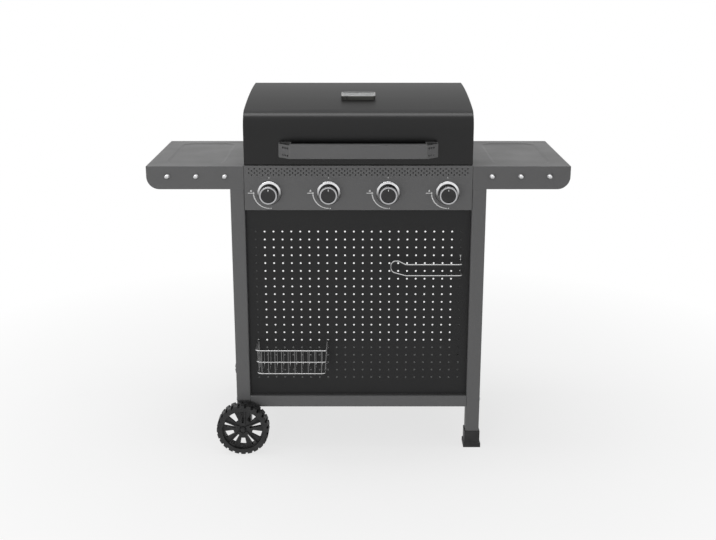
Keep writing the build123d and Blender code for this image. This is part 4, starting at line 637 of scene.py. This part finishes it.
ticks, tick_radius, tick_length, tick_half, first_tick, last_tick = 13, 0.0285, 0.004, 0.8, 150.0, 30.0
scale = printed_band(on_plate, scale_radius, scale_width, scale_width, scale_start, scale_end)
finish_piece(grid_piece("dial_scale", on_dial(scale)), "lid", print_ink, "chrome")
tick_marks = np.concatenate([
    printed_band(on_plate, tick_radius, tick_length, tick_length, a + tick_half, a - tick_half, 6)
    for a in np.linspace(first_tick, last_tick, ticks)])
finish_piece(grid_piece("dial_ticks", on_dial(tick_marks)), "lid", print_ink, "chrome")


# Wire accessories: a basket of bent and welded wire, and a holder bent from one wire into a long loop.
# Both hook into the pegboard. Satin nickel on drawn wire, with a painted highlight where it faces up and
# painted shade where it faces sideways or down.
# Painted highlight and shade: the wire is light where it faces up and dark where it faces sideways or down.
wire_nickel = metal_with_painted_shade("satin_nickel_wire", grey(0.22), grey(0.68), grey(0.82),
                           rough=0.28, turn_dark=0.0, turn_bright=0.3)
dress(("condiment_basket", "towel_holder"), wire_nickel)


# Stage: a pale floor that fades to the white of the background, soft lamps and the camera.
# The lamps are large and even, as in a studio: a key at the front left, a fill at the right and one above.
def backdrop_share(tree):
    """1 for rays that should see plain white: from the camera, and by reflection or through glass."""
    path = tree.nodes.new("ShaderNodeLightPath")
    total = path.outputs["Is Camera Ray"]
    for kind in ("Is Glossy Ray", "Is Transmission Ray"):
        total = combined(tree, "MAXIMUM", total, path.outputs[kind])
    return total


scene = bpy.context.scene
world = bpy.data.worlds.new("studio")
scene.world = world
world.use_nodes = True
tree = world.node_tree
ambient = tree.nodes["Background"]
ambient.inputs["Color"].default_value = (1.0, 1.0, 1.0, 1.0)
ambient.inputs["Strength"].default_value = 0.28
white = tree.nodes.new("ShaderNodeBackground")
white.inputs["Color"].default_value = (1.0, 1.0, 1.0, 1.0)
choice = tree.nodes.new("ShaderNodeMixShader")
tree.links.new(backdrop_share(tree), choice.inputs["Fac"])
tree.links.new(ambient.outputs["Background"], choice.inputs[1])
tree.links.new(white.outputs["Background"], choice.inputs[2])
tree.links.new(choice.outputs["Shader"], tree.nodes["World Output"].inputs["Surface"])

floor_radius = 6.0
rings = np.linspace(0.0, floor_radius, 12)
turn = np.linspace(0.0, 2.0 * np.pi, 64, endpoint=False)
flat = np.zeros((len(rings), len(turn)))
disc = np.stack([rings[:, None] * np.cos(turn), rings[:, None] * np.sin(turn), flat], -1)
floor = grid_piece("pale_floor", disc[None])
floor_material, tree, shader, place = blank_material("pale_floor")
shader.inputs["Roughness"].default_value = 0.9
patchy = between(tree, grain(tree, place, 3.0), 0.0, 1.0)
tree.links.new(blend_colour(tree, patchy, grey(0.86), grey(0.9)), shader.inputs["Base Color"])
shader.inputs["Specular IOR Level"].default_value = 0.0
distance = tree.nodes.new("ShaderNodeVectorMath")
distance.operation = "LENGTH"
tree.links.new(place, distance.inputs[0])
fade = ranged(tree, distance.outputs["Value"], start=0.3, end=1.9, low=0.72)
seen = combined(tree, "MULTIPLY", backdrop_share(tree), fade)
glow = tree.nodes.new("ShaderNodeEmission")
glow.inputs["Color"].default_value = (1.0, 1.0, 1.0, 1.0)
choice = tree.nodes.new("ShaderNodeMixShader")
tree.links.new(seen, choice.inputs["Fac"])
tree.links.new(shader.outputs["BSDF"], choice.inputs[1])
tree.links.new(glow.outputs["Emission"], choice.inputs[2])
tree.links.new(choice.outputs["Shader"], tree.nodes["Material Output"].inputs["Surface"])
floor.data.materials.append(floor_material)


def soft_lamp(name, place, aim, size, power, mirrored):
    """A rectangular area lamp that looks at a point, and shows in polished surfaces or not."""
    data = bpy.data.lights.new(name, "AREA")
    data.shape = "RECTANGLE"
    data.size, data.size_y = size
    data.energy = power
    lamp = bpy.data.objects.new(name, data)
    scene.collection.objects.link(lamp)
    lamp.location = place
    lamp.visible_glossy = mirrored
    back = np.asarray(place, float) - np.asarray(aim, float)
    tilt = np.arctan2(np.hypot(back[0], back[1]), back[2])
    lamp.rotation_euler = (tilt, 0.0, np.arctan2(back[0], -back[1]))


soft_lamp("key_softbox", (-0.9, -3.8, 0.6), (0.0, 0.0, 0.5), size=(2.4, 1.2), power=64.0, mirrored=False)
soft_lamp("fill_softbox", (2.6, -3.4, 0.7), (0.0, 0.0, 0.5), size=(2.4, 1.4), power=9.0, mirrored=False)
soft_lamp("top_softbox", (-0.9, -0.05, 2.9), (-0.9, -0.05, 0.0), size=(3.2, 0.7), power=26.0, mirrored=True)

camera_data = bpy.data.cameras.new("photo_view")
camera_data.sensor_width = 36.0
camera_data.lens = 54.22
camera = bpy.data.objects.new("photo_view", camera_data)
scene.collection.objects.link(camera)
camera.location = (-0.001, -3.2383, 1.4375)
fall_per_metre = 0.28864
camera.rotation_euler = (np.pi / 2 - np.arctan(fall_per_metre), 0.0, 0.0)
scene.camera = camera
scene.view_settings.view_transform = "Standard"
